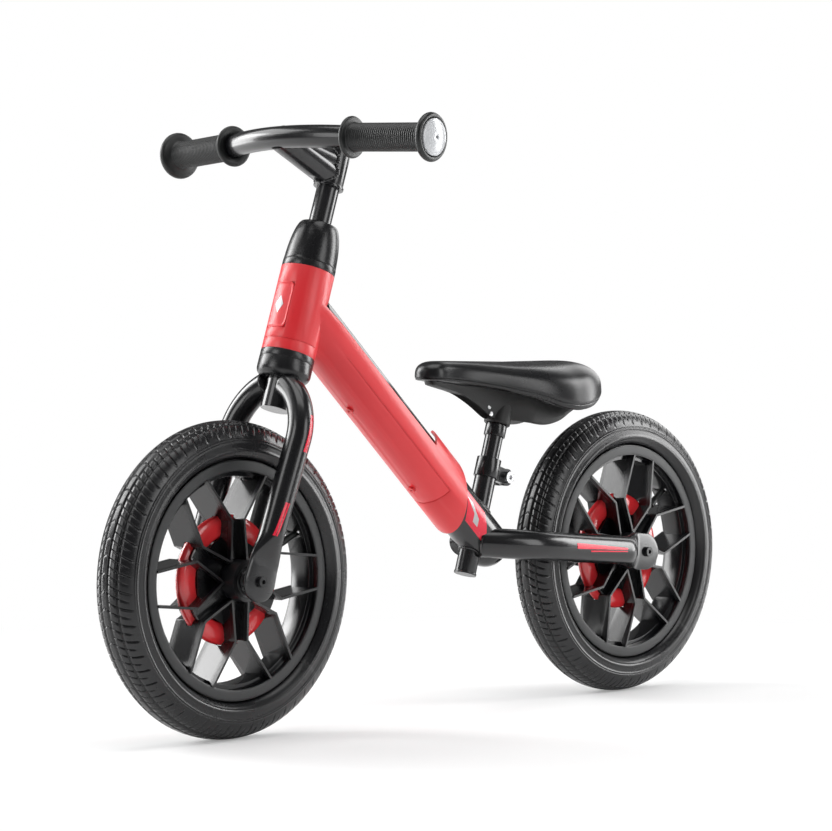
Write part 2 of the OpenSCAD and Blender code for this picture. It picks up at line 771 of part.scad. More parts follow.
module seat_clamp() {
  ear = 9;
  color("#1b1b1c") at_seat() difference() {
    union() {
      translate([0, 0, seat_high - clamp_h + 3]) cylinder(r = clamp_r, h = clamp_h);
      translate([-ear_back, 0, ear_s]) rotate([90, 0, 0]) cylinder(r = ear, h = 16, center = true);
      translate([-ear_back, -8, ear_s - 8]) cube([15, 16, 16]);
    }
    translate([0, 0, seat_high - clamp_h]) cylinder(r = seat_tube_r + seat_gap / 2, h = clamp_h);
    cylinder(r = post_r + 0.4, h = 200);
    translate([-60, -1.2, seat_high - clamp_h - 10]) cube([60, 2.4, 60]);
    translate([-ear_back, 0, ear_s]) rotate([90, 0, 0]) cylinder(r = bolt_r, h = 60, center = true);
  }
}
module seat_clamp_bolt() {
  color("silver") at_seat() translate([-ear_back, 0, ear_s]) rotate([-90, 0, 0]) difference() {
    union() {
      translate([0, 0, -14]) cylinder(r = bolt_r, h = 22);
      translate([0, 0, 8]) cylinder(r = 6.2, h = 5);
    }
    translate([0, 0, 10]) cylinder(r = 2.6, h = 6, $fn = 6);
  }
}
module seat_clamp_nut() {
  color("silver") at_seat() translate([-ear_back, -8, ear_s]) rotate([90, 0, 0])
    difference() {
      cylinder(r = 5.4, h = 5, $fn = 6);
      translate([0, 0, -over]) cylinder(r = bolt_r, h = 10);
    }
}
function seat_s(z) = (z - seat_cross_z) / cos(seat_lean);
module seat_post() {
  color("#1b1b1c") at_seat() pipe(post_r, post_r - 2, seat_low + 30, seat_s(post_top));
}
module post_sleeve() {
  color("#1b1b1c") at_seat() pipe(post_sleeve_r, post_r, post_sleeve_low, post_sleeve_high);
}
// Side view of the saddle: the line between its pad and its base, from the nose to the tail
seam = [[pad_nose_x, 341], [pad_nose_x - 42, 338], [pad_nose_x - 82, 331], [pad_nose_x - 124, 320],
  [pad_nose_x - 152, 309], [pad_nose_x - 176, 305], [pad_nose_x - 200, 308], [pad_tail_x, 327]];
function lifted(line, z) = [for (p = line) [p[0], p[1] + saddle_h - 360 + z]];
module side_extrude(w) { rotate([90, 0, 0]) translate([0, 0, -w / 2]) linear_extrude(w) children(); }
// Plan view of the saddle, smaller by inset
module saddle_plan(inset) {
  half = saddle_w / 2 - inset;
  nose_half = pad_nose_r - inset;
  side = [for (i = [0:8]) [pad_nose_x - pad_nose_r - flare_len * i / 8,
    nose_half + (half - nose_half) * (1 - cos(22.5 * i)) / 2]];
  translate([pad_nose_x - pad_nose_r, 0]) circle(r = nose_half);
  polygon(concat(side, [for (i = [8:-1:0]) [side[i][0], -side[i][1]]]));
  translate([pad_tail_x + saddle_w / 2, 0]) circle(r = half);
  translate([pad_tail_x + saddle_w / 2, -half]) square([flat_len + 1, 2 * half]);
}
module saddle_pad() {
  color("#161617") intersection() {
    translate([0, 0, 250]) linear_extrude(200) saddle_plan(0);
    side_extrude(300) polygon(concat(lifted(seam, 0), [[pad_tail_x, saddle_h - 15],
      [pad_tail_x + 10, saddle_h - 4], [pad_tail_x + 26, saddle_h], [pad_nose_x - 24, saddle_h],
      [pad_nose_x - 7, saddle_h - 3], [pad_nose_x, saddle_h - 11]]));
  }
}
// The base's tray follows the pad; a keel runs ahead of the post and a lobe behind it
module saddle_base() {
  keel = [[-118, 340], [-118, 303], [-84.5, 297.6], [-62, 312], [-34, 326], [pad_nose_x - 12, 335],
    [pad_nose_x - 12, 360]];
  lobe = [[pad_tail_x + 42, 340], [pad_tail_x + 42, 302], [pad_tail_x + 60, 294],
    [pad_tail_x + 84, 290.5], [pad_tail_x + 108, 294], [-107, 303], [-107, 340]];
  color("#0e0e0f") difference() {
    union() {
      intersection() {
        translate([0, 0, 250]) linear_extrude(200) saddle_plan(12);
        side_extrude(300) polygon(concat(lifted(seam, -7), [[pad_tail_x, 450], [pad_nose_x, 450]]));
      }
      side_extrude(2 * keel_half) polygon(lifted(keel, 0));
      side_extrude(48) polygon(lifted(lobe, 0));
      at_seat() translate([0, 0, post_sleeve_high + 0.1]) cylinder(r = socket_r, h = 34);
    }
    at_seat() cylinder(r = post_r, h = seat_s(post_top) + 0.1);
    side_extrude(300) polygon(concat(lifted(seam, -0.05), [[pad_tail_x, 500], [pad_nose_x, 500]]));
  }
}
module saddle_screws() {
  color("silver") for (p = lifted([[-79, 304], [-76, 311]], 0)) translate([p[0], keel_half, p[1]])
    rotate([-90, 0, 0]) cylinder(r = 2.2, h = 1.6);
}

main_tube();
head_tube();
seat_tube();
seat_tube_plug();
left_stay();
right_stay();
tube_cover();
badge_panel();
cover_screws();
upper_cup();
lower_cup();
upper_bearing();
lower_bearing();
seat_clamp();
seat_clamp_bolt();
seat_clamp_nut();
rear_axle();
rear_spacers();
rear_axle_bolts();
steerer_tube();
left_fork_leg();
right_fork_leg();
crown_cap();
steerer_locknut();
headset_cap();
front_axle();
front_spacers();
front_axle_bolts();
quill_tube();
quill_wedge();
quill_bolt();
stem_sleeve();
stem_arm();
stem_ring();
stem_screw();
stem_plug();
handlebar();
left_grip();
right_grip();
grip_end_caps();
front_rim();
front_spokes();
front_tyre();
front_inner_tube();
front_valve();
front_light_ring();
front_bearings();
rear_rim();
rear_spokes();
rear_tyre();
rear_inner_tube();
rear_valve();
rear_light_ring();
rear_bearings();
seat_post();
post_sleeve();
saddle_base();
saddle_pad();
saddle_screws();
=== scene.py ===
"""The looks of a child's balance bike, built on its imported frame.

Every sub-assembly is a class that keeps its sizes as fields, in millimetres, and builds
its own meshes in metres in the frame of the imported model: +X forward, +Y to the rider's
left and +Z up, with the origin on the ground midway between the wheels.
"""

import json
import logging
import math
from dataclasses import dataclass, field
from enum import Enum
from typing import Callable, Iterable, Sequence

import bpy
import numpy as np
from mathutils import Matrix, Vector


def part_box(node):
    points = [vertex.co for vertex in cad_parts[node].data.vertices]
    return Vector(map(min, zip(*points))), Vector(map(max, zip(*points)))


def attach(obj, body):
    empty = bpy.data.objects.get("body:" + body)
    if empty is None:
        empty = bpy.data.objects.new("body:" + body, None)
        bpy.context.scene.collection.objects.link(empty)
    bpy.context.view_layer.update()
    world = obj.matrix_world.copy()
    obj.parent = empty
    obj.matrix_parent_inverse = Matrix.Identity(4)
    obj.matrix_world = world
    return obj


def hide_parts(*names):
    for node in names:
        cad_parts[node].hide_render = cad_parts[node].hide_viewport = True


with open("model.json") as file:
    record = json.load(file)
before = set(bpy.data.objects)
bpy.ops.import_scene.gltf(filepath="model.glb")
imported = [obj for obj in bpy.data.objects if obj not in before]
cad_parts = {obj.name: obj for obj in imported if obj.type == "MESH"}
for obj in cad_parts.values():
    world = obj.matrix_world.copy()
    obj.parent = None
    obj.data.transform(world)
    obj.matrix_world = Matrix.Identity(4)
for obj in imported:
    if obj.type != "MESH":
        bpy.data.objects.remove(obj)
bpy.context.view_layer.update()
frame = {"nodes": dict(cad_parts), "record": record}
LOG = logging.getLogger("balance_bike")
MM = 0.001
Array = np.ndarray


# ---- Geometry helpers ----


@dataclass(frozen=True)
class Axis:
    """A line in space with a zero direction for angles round it.

    Attributes:
        origin: A point on the line, in millimetres.
        along: Unit direction of the line.
        zero: Unit direction of angle 0, square to the line.
    """

    origin: Array
    along: Array
    zero: Array

    @classmethod
    def make(cls, origin: Sequence[float], along: Sequence[float], zero: Sequence[float]) -> "Axis":
        """Returns an axis with its directions made square and of unit length."""
        a = np.asarray(along, float)
        a = a / np.linalg.norm(a)
        z = np.asarray(zero, float)
        z = z - a * (z @ a)
        return cls(np.asarray(origin, float), a, z / np.linalg.norm(z))

    @property
    def side(self) -> Array:
        """Unit direction of angle 90."""
        return np.cross(self.along, self.zero)

    def out(self, angle: float) -> Array:
        """Returns the unit direction away from the line at an angle in radians."""
        return math.cos(angle) * self.zero + math.sin(angle) * self.side

    def point(self, distance: float, radius: float, angle: float) -> Array:
        """Returns the point at a distance along the line, a radius from it and an angle."""
        return self.origin + distance * self.along + radius * self.out(angle)


def joint_axis(name: str, zero: Sequence[float]) -> Axis:
    """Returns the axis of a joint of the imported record."""
    for joint in frame["record"]["behaviour"]["joints"]:
        if joint["name"] == name:
            place = np.asarray(joint.get("pos_m") or (0.0, 0.0, 0.0), float) / MM
            return Axis.make(place, joint["axis"], zero)
    raise KeyError(name)


def node_centre(node: str) -> Array:
    """Returns the middle of a CAD node's box, in millimetres."""
    low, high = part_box(node)
    return (np.array(low) + np.array(high)) / 2 / MM


def node_points(node: str) -> Array:
    """Returns the vertices of a CAD node, in millimetres."""
    mesh = frame["nodes"][node].data
    flat = np.zeros(len(mesh.vertices) * 3)
    mesh.vertices.foreach_get("co", flat)
    return flat.reshape(-1, 3) / MM


def grid_mesh(name: str, grid: Array, wrap_rows: bool = False, wrap_cols: bool = False,
              caps: bool = False) -> bpy.types.Object:
    """Makes a smooth object from a grid of points.

    Args:
        name: Name of the piece.
        grid: Points of shape (rows, columns, 3), in millimetres.
        wrap_rows: Whether the last row joins the first.
        wrap_cols: Whether the last column joins the first.
        caps: Whether the first and last rows are closed by a fan.

    Returns:
        The new object, linked to the scene.
    """
    rows, cols = grid.shape[:2]
    index = np.arange(rows * cols).reshape(rows, cols)
    if wrap_rows:
        index = np.vstack([index, index[:1]])
    if wrap_cols:
        index = np.hstack([index, index[:, :1]])
    quads = np.stack([index[:-1, :-1], index[:-1, 1:], index[1:, 1:], index[1:, :-1]], -1).reshape(-1, 4)
    faces = quads.tolist()
    points = grid.reshape(-1, 3)
    if caps:
        for row, flip in ((0, True), (rows - 1, False)):
            ring = list(range(row * cols, row * cols + cols))
            centre = len(points)
            points = np.vstack([points, grid[row].mean(0)])
            for i in range(cols):
                pair = (ring[i], ring[(i + 1) % cols])
                faces.append([centre, *(pair[::-1] if flip else pair)])
    mesh = bpy.data.meshes.new(name)
    mesh.from_pydata((points * MM).tolist(), [], faces)
    mesh.validate()
    mesh.update()
    mesh.shade_smooth()
    made = bpy.data.objects.new(name, mesh)
    bpy.context.scene.collection.objects.link(made)
    return made


def face_outward(obj: bpy.types.Object) -> bpy.types.Object:
    """Turns a closed mesh's faces so that its volume is positive."""
    mesh = obj.data
    volume = 0.0
    for poly in mesh.polygons:
        corner = [mesh.vertices[i].co for i in poly.vertices]
        for i in range(1, len(corner) - 1):
            volume += corner[0].dot(corner[i].cross(corner[i + 1]))
    if volume < 0:
        mesh.flip_normals()
    return obj


def turned(name: str, axis: Axis, profile: Sequence[tuple[float, float]], steps: int = 96,
           closed: bool = False) -> bpy.types.Object:
    """Makes a turned piece.

    Args:
        name: Name of the piece.
        axis: Line that the profile turns round.
        profile: Pairs of distance along the axis and radius, in millimetres.
        steps: Number of columns round the axis.
        closed: Whether the profile's last point joins its first.
    """
    turns = np.linspace(0, 2 * math.pi, steps, endpoint=False)
    grid = np.array([[axis.point(s, max(r, 0.01), a) for a in turns] for s, r in profile])
    return face_outward(grid_mesh(name, grid, wrap_rows=closed, wrap_cols=True, caps=not closed))


def smooth_curve(points: Sequence[Sequence[float]], count: int) -> Array:
    """Returns evenly numbered points of a Catmull-Rom curve through the given ones."""
    p = np.asarray(points, float)
    p = np.vstack([2 * p[0] - p[1], p, 2 * p[-1] - p[-2]])
    spans = len(p) - 3
    out = []
    for u in np.linspace(0, spans - 1e-9, count):
        i = int(u)
        t = u - i
        a, b, c, d = p[i:i + 4]
        out.append(0.5 * (2 * b + (c - a) * t + (2 * a - 5 * b + 4 * c - d) * t * t
                          + (3 * b - a - 3 * c + d) * t ** 3))
    return np.array(out)


def bead(name: str, line: Array, radius: float, ripple: float, lumps: int,
         closed: bool = True) -> bpy.types.Object:
    """Makes a weld bead: a rippled tube along a line of points in millimetres."""
    count = len(line)
    ahead = np.roll(line, -1, 0) - np.roll(line, 1, 0)
    if not closed:
        ahead[0], ahead[-1] = line[1] - line[0], line[-1] - line[-2]
    ahead /= np.linalg.norm(ahead, axis=1)[:, None]
    centre = line.mean(0)
    rings = []
    for i, (p, t) in enumerate(zip(line, ahead)):
        n = p - centre
        n = n - t * (n @ t)
        n /= np.linalg.norm(n)
        b = np.cross(t, n)
        phase = (i / count * lumps) % 1.0
        r = radius + ripple * (abs(math.sin(math.pi * phase)) - 0.5)
        turns = np.linspace(0, 2 * math.pi, 10, endpoint=False)
        rings.append([p + r * (math.cos(a) * n + math.sin(a) * b) for a in turns])
    return face_outward(grid_mesh(name, np.array(rings), wrap_rows=closed, wrap_cols=True, caps=not closed))


def crossing(inner: Axis, inner_r: float, outer: Axis, outer_r: float, sign: int, count: int = 144) -> Array:
    """Returns the closed line where a tube leaves the skin of another tube.

    Args:
        inner: Axis of the tube that comes out, starting inside the other one.
        inner_r: Radius of that tube.
        outer: Axis of the tube that it leaves.
        outer_r: Radius of the tube that it leaves.
        sign: 1 for the way out along inner, -1 for the way out against it.
        count: Number of points.
    """
    def flat(v: Array) -> Array:
        """Drops the share of a vector along the outer tube."""
        return v - outer.along * (v @ outer.along)

    line = []
    d = flat(inner.along)
    for angle in np.linspace(0, 2 * math.pi, count, endpoint=False):
        w = inner.origin - outer.origin + inner_r * inner.out(angle)
        f = flat(w)
        a, b, c = d @ d, 2 * d @ f, f @ f - outer_r ** 2
        t = (-b + sign * math.sqrt(max(b * b - 4 * a * c, 0.0))) / (2 * a)
        line.append(outer.origin + w + t * inner.along)
    return np.array(line)


# ---- Materials ----


class Grain(Enum):
    """How a surface is broken up at the smallest scale."""

    PAINT = "paint"
    MOULDED = "moulded"
    LEATHER = "leather"
    BRUSHED = "brushed"
    RUBBER = "rubber"


class Groups:
    """Node groups that the finishes share. Each is built once."""

    def __init__(self) -> None:
        self.made: dict[str, bpy.types.NodeTree] = {}

    def start(self, name: str, inputs: Iterable[tuple[str, str, float | None]],
              outputs: Iterable[tuple[str, str]]) -> tuple[bpy.types.NodeTree, Callable]:
        """Opens a new group and returns it with a function that adds nodes."""
        tree = bpy.data.node_groups.new(name, "ShaderNodeTree")
        for label, kind, value in inputs:
            socket = tree.interface.new_socket(name=label, in_out="INPUT", socket_type=kind)
            if value is not None:
                socket.default_value = value
        for label, kind in outputs:
            tree.interface.new_socket(name=label, in_out="OUTPUT", socket_type=kind)

        def add(kind: str, **settings: object) -> bpy.types.Node:
            """Adds one node and sets its options."""
            node = tree.nodes.new(kind)
            for key, value in settings.items():
                setattr(node, key, value)
            return node

        self.made[name] = tree
        return tree, add

    def surface(self) -> bpy.types.NodeTree:
        """Cloudy variation, fine scratches and a micro height, all in object space."""
        if "surface" in self.made:
            return self.made["surface"]
        tree, add = self.start(
            "surface",
            [("Coarse", "NodeSocketFloat", 14.0), ("Fine", "NodeSocketFloat", 900.0)],
            [("Cloud", "NodeSocketFloat"), ("Scratch", "NodeSocketFloat"), ("Height", "NodeSocketFloat")])
        link = tree.links.new
        gin, gout = add("NodeGroupInput"), add("NodeGroupOutput")
        where = add("ShaderNodeTexCoord")
        cloud = add("ShaderNodeTexNoise")
        cloud.inputs["Detail"].default_value = 4.0
        cloud.inputs["Roughness"].default_value = 0.6
        stretch = add("ShaderNodeMapping")
        stretch.inputs["Scale"].default_value = (14.0, 260.0, 90.0)
        stretch.inputs["Rotation"].default_value = (0.4, 0.7, 0.3)
        lines = add("ShaderNodeTexNoise")
        lines.inputs["Scale"].default_value = 5.0
        lines.inputs["Detail"].default_value = 6.0
        sharp = add("ShaderNodeMapRange")
        sharp.inputs["From Min"].default_value = 0.62
        sharp.inputs["From Max"].default_value = 0.74
        fine = add("ShaderNodeTexNoise")
        fine.inputs["Detail"].default_value = 2.0
        for node, scale in ((cloud, "Coarse"), (fine, "Fine")):
            link(where.outputs["Object"], node.inputs["Vector"])
            link(gin.outputs[scale], node.inputs["Scale"])
        link(where.outputs["Object"], stretch.inputs["Vector"])
        link(stretch.outputs["Vector"], lines.inputs["Vector"])
        link(lines.outputs["Fac"], sharp.inputs["Value"])
        link(cloud.outputs["Fac"], gout.inputs["Cloud"])
        link(sharp.outputs["Result"], gout.inputs["Scratch"])
        link(fine.outputs["Fac"], gout.inputs["Height"])
        return tree

    def leather(self) -> bpy.types.NodeTree:
        """Pebbled grain of coated fabric, as a height and a crease mask."""
        if "leather" in self.made:
            return self.made["leather"]
        tree, add = self.start("leather", [("Scale", "NodeSocketFloat", 620.0)],
                               [("Height", "NodeSocketFloat"), ("Crease", "NodeSocketFloat")])
        link = tree.links.new
        gin, gout = add("NodeGroupInput"), add("NodeGroupOutput")
        where = add("ShaderNodeTexCoord")
        cells = add("ShaderNodeTexVoronoi", feature="DISTANCE_TO_EDGE")
        crease = add("ShaderNodeMapRange")
        crease.inputs["From Max"].default_value = 0.16
        link(where.outputs["Object"], cells.inputs["Vector"])
        link(gin.outputs["Scale"], cells.inputs["Scale"])
        link(cells.outputs["Distance"], crease.inputs["Value"])
        link(crease.outputs["Result"], gout.inputs["Height"])
        link(crease.outputs["Result"], gout.inputs["Crease"])
        return tree

    def wear(self) -> bpy.types.NodeTree:
        """A mask of the convex edges, where a surface is rubbed paler."""
        if "wear" in self.made:
            return self.made["wear"]
        tree, add = self.start("wear", [], [("Mask", "NodeSocketFloat")])
        gout = add("NodeGroupOutput")
        shape = add("ShaderNodeNewGeometry")
        ramp = add("ShaderNodeMapRange")
        ramp.inputs["From Min"].default_value = 0.52
        ramp.inputs["From Max"].default_value = 0.62
        tree.links.new(shape.outputs["Pointiness"], ramp.inputs["Value"])
        tree.links.new(ramp.outputs["Result"], gout.inputs["Mask"])
        return tree

    def depth(self) -> bpy.types.NodeTree:
        """How far a point lies from the bike's middle plane, as a mask between two distances."""
        if "depth" in self.made:
            return self.made["depth"]
        ends = [("Near", "NodeSocketFloat", 0.01), ("Far", "NodeSocketFloat", 0.018)]
        tree, add = self.start("depth", ends, [("Mask", "NodeSocketFloat")])
        link = tree.links.new
        gin, gout = add("NodeGroupInput"), add("NodeGroupOutput")
        where = add("ShaderNodeTexCoord")
        split = add("ShaderNodeSeparateXYZ")
        size = add("ShaderNodeMath", operation="ABSOLUTE")
        ramp = add("ShaderNodeMapRange", interpolation_type="SMOOTHSTEP")
        link(where.outputs["Object"], split.inputs["Vector"])
        link(split.outputs["Y"], size.inputs[0])
        link(size.outputs["Value"], ramp.inputs["Value"])
        link(gin.outputs["Near"], ramp.inputs["From Min"])
        link(gin.outputs["Far"], ramp.inputs["From Max"])
        link(ramp.outputs["Result"], gout.inputs["Mask"])
        return tree


@dataclass(frozen=True)
class Finish:
    """One procedural finish.

    Attributes:
        name: Name of the material.
        colour: Linear base colour.
        second: Linear colour that the cloudy variation moves towards.
        roughness: Lowest and highest roughness.
        grain: How the surface is broken up.
        metallic: Metallic value.
        coat: Weight of the clear coat.
        bump: Strength of the fine relief.
        fine: Scale of the fine relief.
        wear: How far worn edges go towards the worn colour.
        worn: Linear colour of worn edges.
        deep: Roughness of the parts near the middle plane, where the finish has two parts.
        specular: Specular level.
    """

    name: str
    colour: tuple[float, float, float]
    second: tuple[float, float, float]
    roughness: tuple[float, float]
    grain: Grain = Grain.MOULDED
    metallic: float = 0.0
    coat: float = 0.0
    bump: float = 0.05
    fine: float = 900.0
    wear: float = 0.0
    worn: tuple[float, float, float] = (0.3, 0.3, 0.3)
    deep: float | None = None
    specular: float = 0.5

    def build(self, groups: Groups) -> bpy.types.Material:
        """Builds the material from the shared node groups."""
        material = bpy.data.materials.new(self.name)
        material.use_nodes = True
        tree = material.node_tree
        nodes, link = tree.nodes, tree.links.new
        shader = nodes["Principled BSDF"]
        shader.inputs["Metallic"].default_value = self.metallic
        shader.inputs["Coat Weight"].default_value = self.coat
        shader.inputs["Coat Roughness"].default_value = 0.04
        shader.inputs["Specular IOR Level"].default_value = self.specular
        base = nodes.new("ShaderNodeGroup")
        base.node_tree = groups.surface()
        base.inputs["Fine"].default_value = self.fine
        tint = nodes.new("ShaderNodeMix")
        tint.data_type = "RGBA"
        tint.inputs["A"].default_value = (*self.colour, 1)
        tint.inputs["B"].default_value = (*self.second, 1)
        link(base.outputs["Cloud"], tint.inputs["Factor"])
        colour = tint.outputs["Result"]
        if self.wear:
            edge = nodes.new("ShaderNodeGroup")
            edge.node_tree = groups.wear()
            amount = nodes.new("ShaderNodeMath")
            amount.operation = "MULTIPLY"
            amount.inputs[1].default_value = self.wear
            rub = nodes.new("ShaderNodeMix")
            rub.data_type = "RGBA"
            rub.inputs["B"].default_value = (*self.worn, 1)
            link(edge.outputs["Mask"], amount.inputs[0])
            link(amount.outputs["Value"], rub.inputs["Factor"])
            link(colour, rub.inputs["A"])
            colour = rub.outputs["Result"]
        link(colour, shader.inputs["Base Color"])
        span = nodes.new("ShaderNodeMapRange")
        span.inputs["From Min"].default_value = 0.3
        span.inputs["From Max"].default_value = 0.7
        span.inputs["To Min"].default_value = self.roughness[0]
        span.inputs["To Max"].default_value = self.roughness[1]
        link(base.outputs["Cloud"], span.inputs["Value"])
        scratch = nodes.new("ShaderNodeMath")
        scratch.operation = "MULTIPLY_ADD"
        scratch.inputs[1].default_value = 0.06
        link(base.outputs["Scratch"], scratch.inputs[0])
        link(span.outputs["Result"], scratch.inputs[2])
        rough = scratch.outputs["Value"]
        if self.deep is not None:
            far = nodes.new("ShaderNodeGroup")
            far.node_tree = groups.depth()
            pick = nodes.new("ShaderNodeMix")
            pick.inputs["A"].default_value = self.deep
            link(far.outputs["Mask"], pick.inputs["Factor"])
            link(rough, pick.inputs["B"])
            rough = pick.outputs["Result"]
        link(rough, shader.inputs["Roughness"])
        relief = nodes.new("ShaderNodeBump")
        relief.inputs["Strength"].default_value = self.bump
        relief.inputs["Distance"].default_value = 0.0004
        height = base.outputs["Height"]
        if self.grain is Grain.LEATHER:
            skin = nodes.new("ShaderNodeGroup")
            skin.node_tree = groups.leather()
            height = skin.outputs["Height"]
        link(height, relief.inputs["Height"])
        link(relief.outputs["Normal"], shader.inputs["Normal"])
        return material


BLACK = (0.006, 0.006, 0.007)
FINISHES: dict[str, Finish] = {
    "frame_paint": Finish("frame_paint", BLACK, (0.004, 0.004, 0.005), (0.20, 0.28), Grain.PAINT,
                          coat=0.25, bump=0.02, fine=1500.0, wear=0.15, worn=(0.05, 0.05, 0.052)),
    "satin_plastic": Finish("satin_plastic", (0.004, 0.004, 0.005), (0.008, 0.008, 0.009), (0.22, 0.32),
                            bump=0.10, fine=2200.0, wear=0.3, worn=(0.05, 0.05, 0.05)),
    "cover_red": Finish("cover_red", (0.62, 0.012, 0.018), (0.72, 0.026, 0.034), (0.34, 0.42),
                        coat=0.05, bump=0.02, fine=1300.0, wear=0.2, worn=(0.8, 0.12, 0.12)),
    "bright_steel": Finish("bright_steel", (0.56, 0.56, 0.57), (0.70, 0.70, 0.71), (0.20, 0.32),
                           Grain.BRUSHED, metallic=1.0, bump=0.06, fine=1800.0),
    "wheel_plastic": Finish("wheel_plastic", (0.003, 0.003, 0.004), (0.006, 0.006, 0.007), (0.26, 0.38),
                            bump=0.10, fine=2400.0, wear=0.4, worn=(0.06, 0.06, 0.06), deep=0.13),
    "tyre_rubber": Finish("tyre_rubber", (0.004, 0.004, 0.005), (0.009, 0.009, 0.010), (0.22, 0.34),
                          Grain.RUBBER, bump=0.16, fine=1500.0, wear=0.35, worn=(0.06, 0.06, 0.06)),
    "soft_rubber": Finish("soft_rubber", (0.004, 0.005, 0.005), (0.008, 0.009, 0.009), (0.34, 0.46),
                          Grain.RUBBER, bump=0.14, fine=2000.0),
    "pale_plastic": Finish("pale_plastic", (0.52, 0.53, 0.55), (0.60, 0.61, 0.62), (0.16, 0.24),
                           bump=0.03, fine=1200.0),
    "red_ring": Finish("red_ring", (0.66, 0.020, 0.028), (0.76, 0.040, 0.045), (0.16, 0.24),
                       coat=0.5, bump=0.02, fine=1200.0),
    "saddle_skin": Finish("saddle_skin", (0.004, 0.004, 0.005), (0.007, 0.007, 0.008), (0.26, 0.34),
                          Grain.LEATHER, bump=0.05),
    "saddle_shell": Finish("saddle_shell", (0.003, 0.003, 0.003), (0.005, 0.005, 0.005), (0.42, 0.52),
                           bump=0.2, fine=1600.0),
    "decal_red": Finish("decal_red", (0.70, 0.012, 0.040), (0.78, 0.020, 0.052), (0.22, 0.30), Grain.PAINT,
                        bump=0.02, fine=1400.0),
    "decal_silver": Finish("decal_silver", (0.40, 0.40, 0.41), (0.50, 0.50, 0.51), (0.35, 0.45), Grain.PAINT,
                           metallic=0.6, bump=0.02, fine=1400.0),
    "flange_grey": Finish("flange_grey", (0.012, 0.013, 0.014), (0.020, 0.021, 0.022), (0.45, 0.55),
                          bump=0.15, fine=2200.0),
}


class Library:
    """The materials, built when first asked for."""

    def __init__(self) -> None:
        self.groups = Groups()
        self.made: dict[str, bpy.types.Material] = {}

    def get(self, name: str) -> bpy.types.Material:
        """Returns the material of a finish."""
        if name not in self.made:
            self.made[name] = FINISHES[name].build(self.groups)
        return self.made[name]

    def dress(self, obj: bpy.types.Object, name: str) -> bpy.types.Object:
        """Gives an object a finish on all its faces."""
        obj.data.materials.clear()
        obj.data.materials.append(self.get(name))
        return obj


class SubAssembly:
    """What the sub-assemblies share: the library and the way that a piece is finished."""

    def __init__(self, library: Library) -> None:
        self.library = library
        self.pieces: list[bpy.types.Object] = []

    def finish(self, obj: bpy.types.Object, body: str, finish: str, slot: str | None = None,
               stands_for: Sequence[str] = ()) -> bpy.types.Object:
        """Dresses a piece, lets it ride on its body and hides the CAD nodes that it stands for."""
        self.library.dress(obj, finish)
        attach(obj, body)
        if stands_for:
            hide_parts(*stands_for)
        self.pieces.append(obj)
        return obj


# ---- Wheels ----


@dataclass
class TyreSizes:
    """Sizes of a tyre's section and tread."""

    half_width: float = 25.1
    section_h: float = 33.7
    power: float = 0.8
    blocks: int = 58
    sweep: float = 0.55
    ring_depth: float = 1.9
    cut_depth: float = 1.8
    edge_depth: float = 1.5


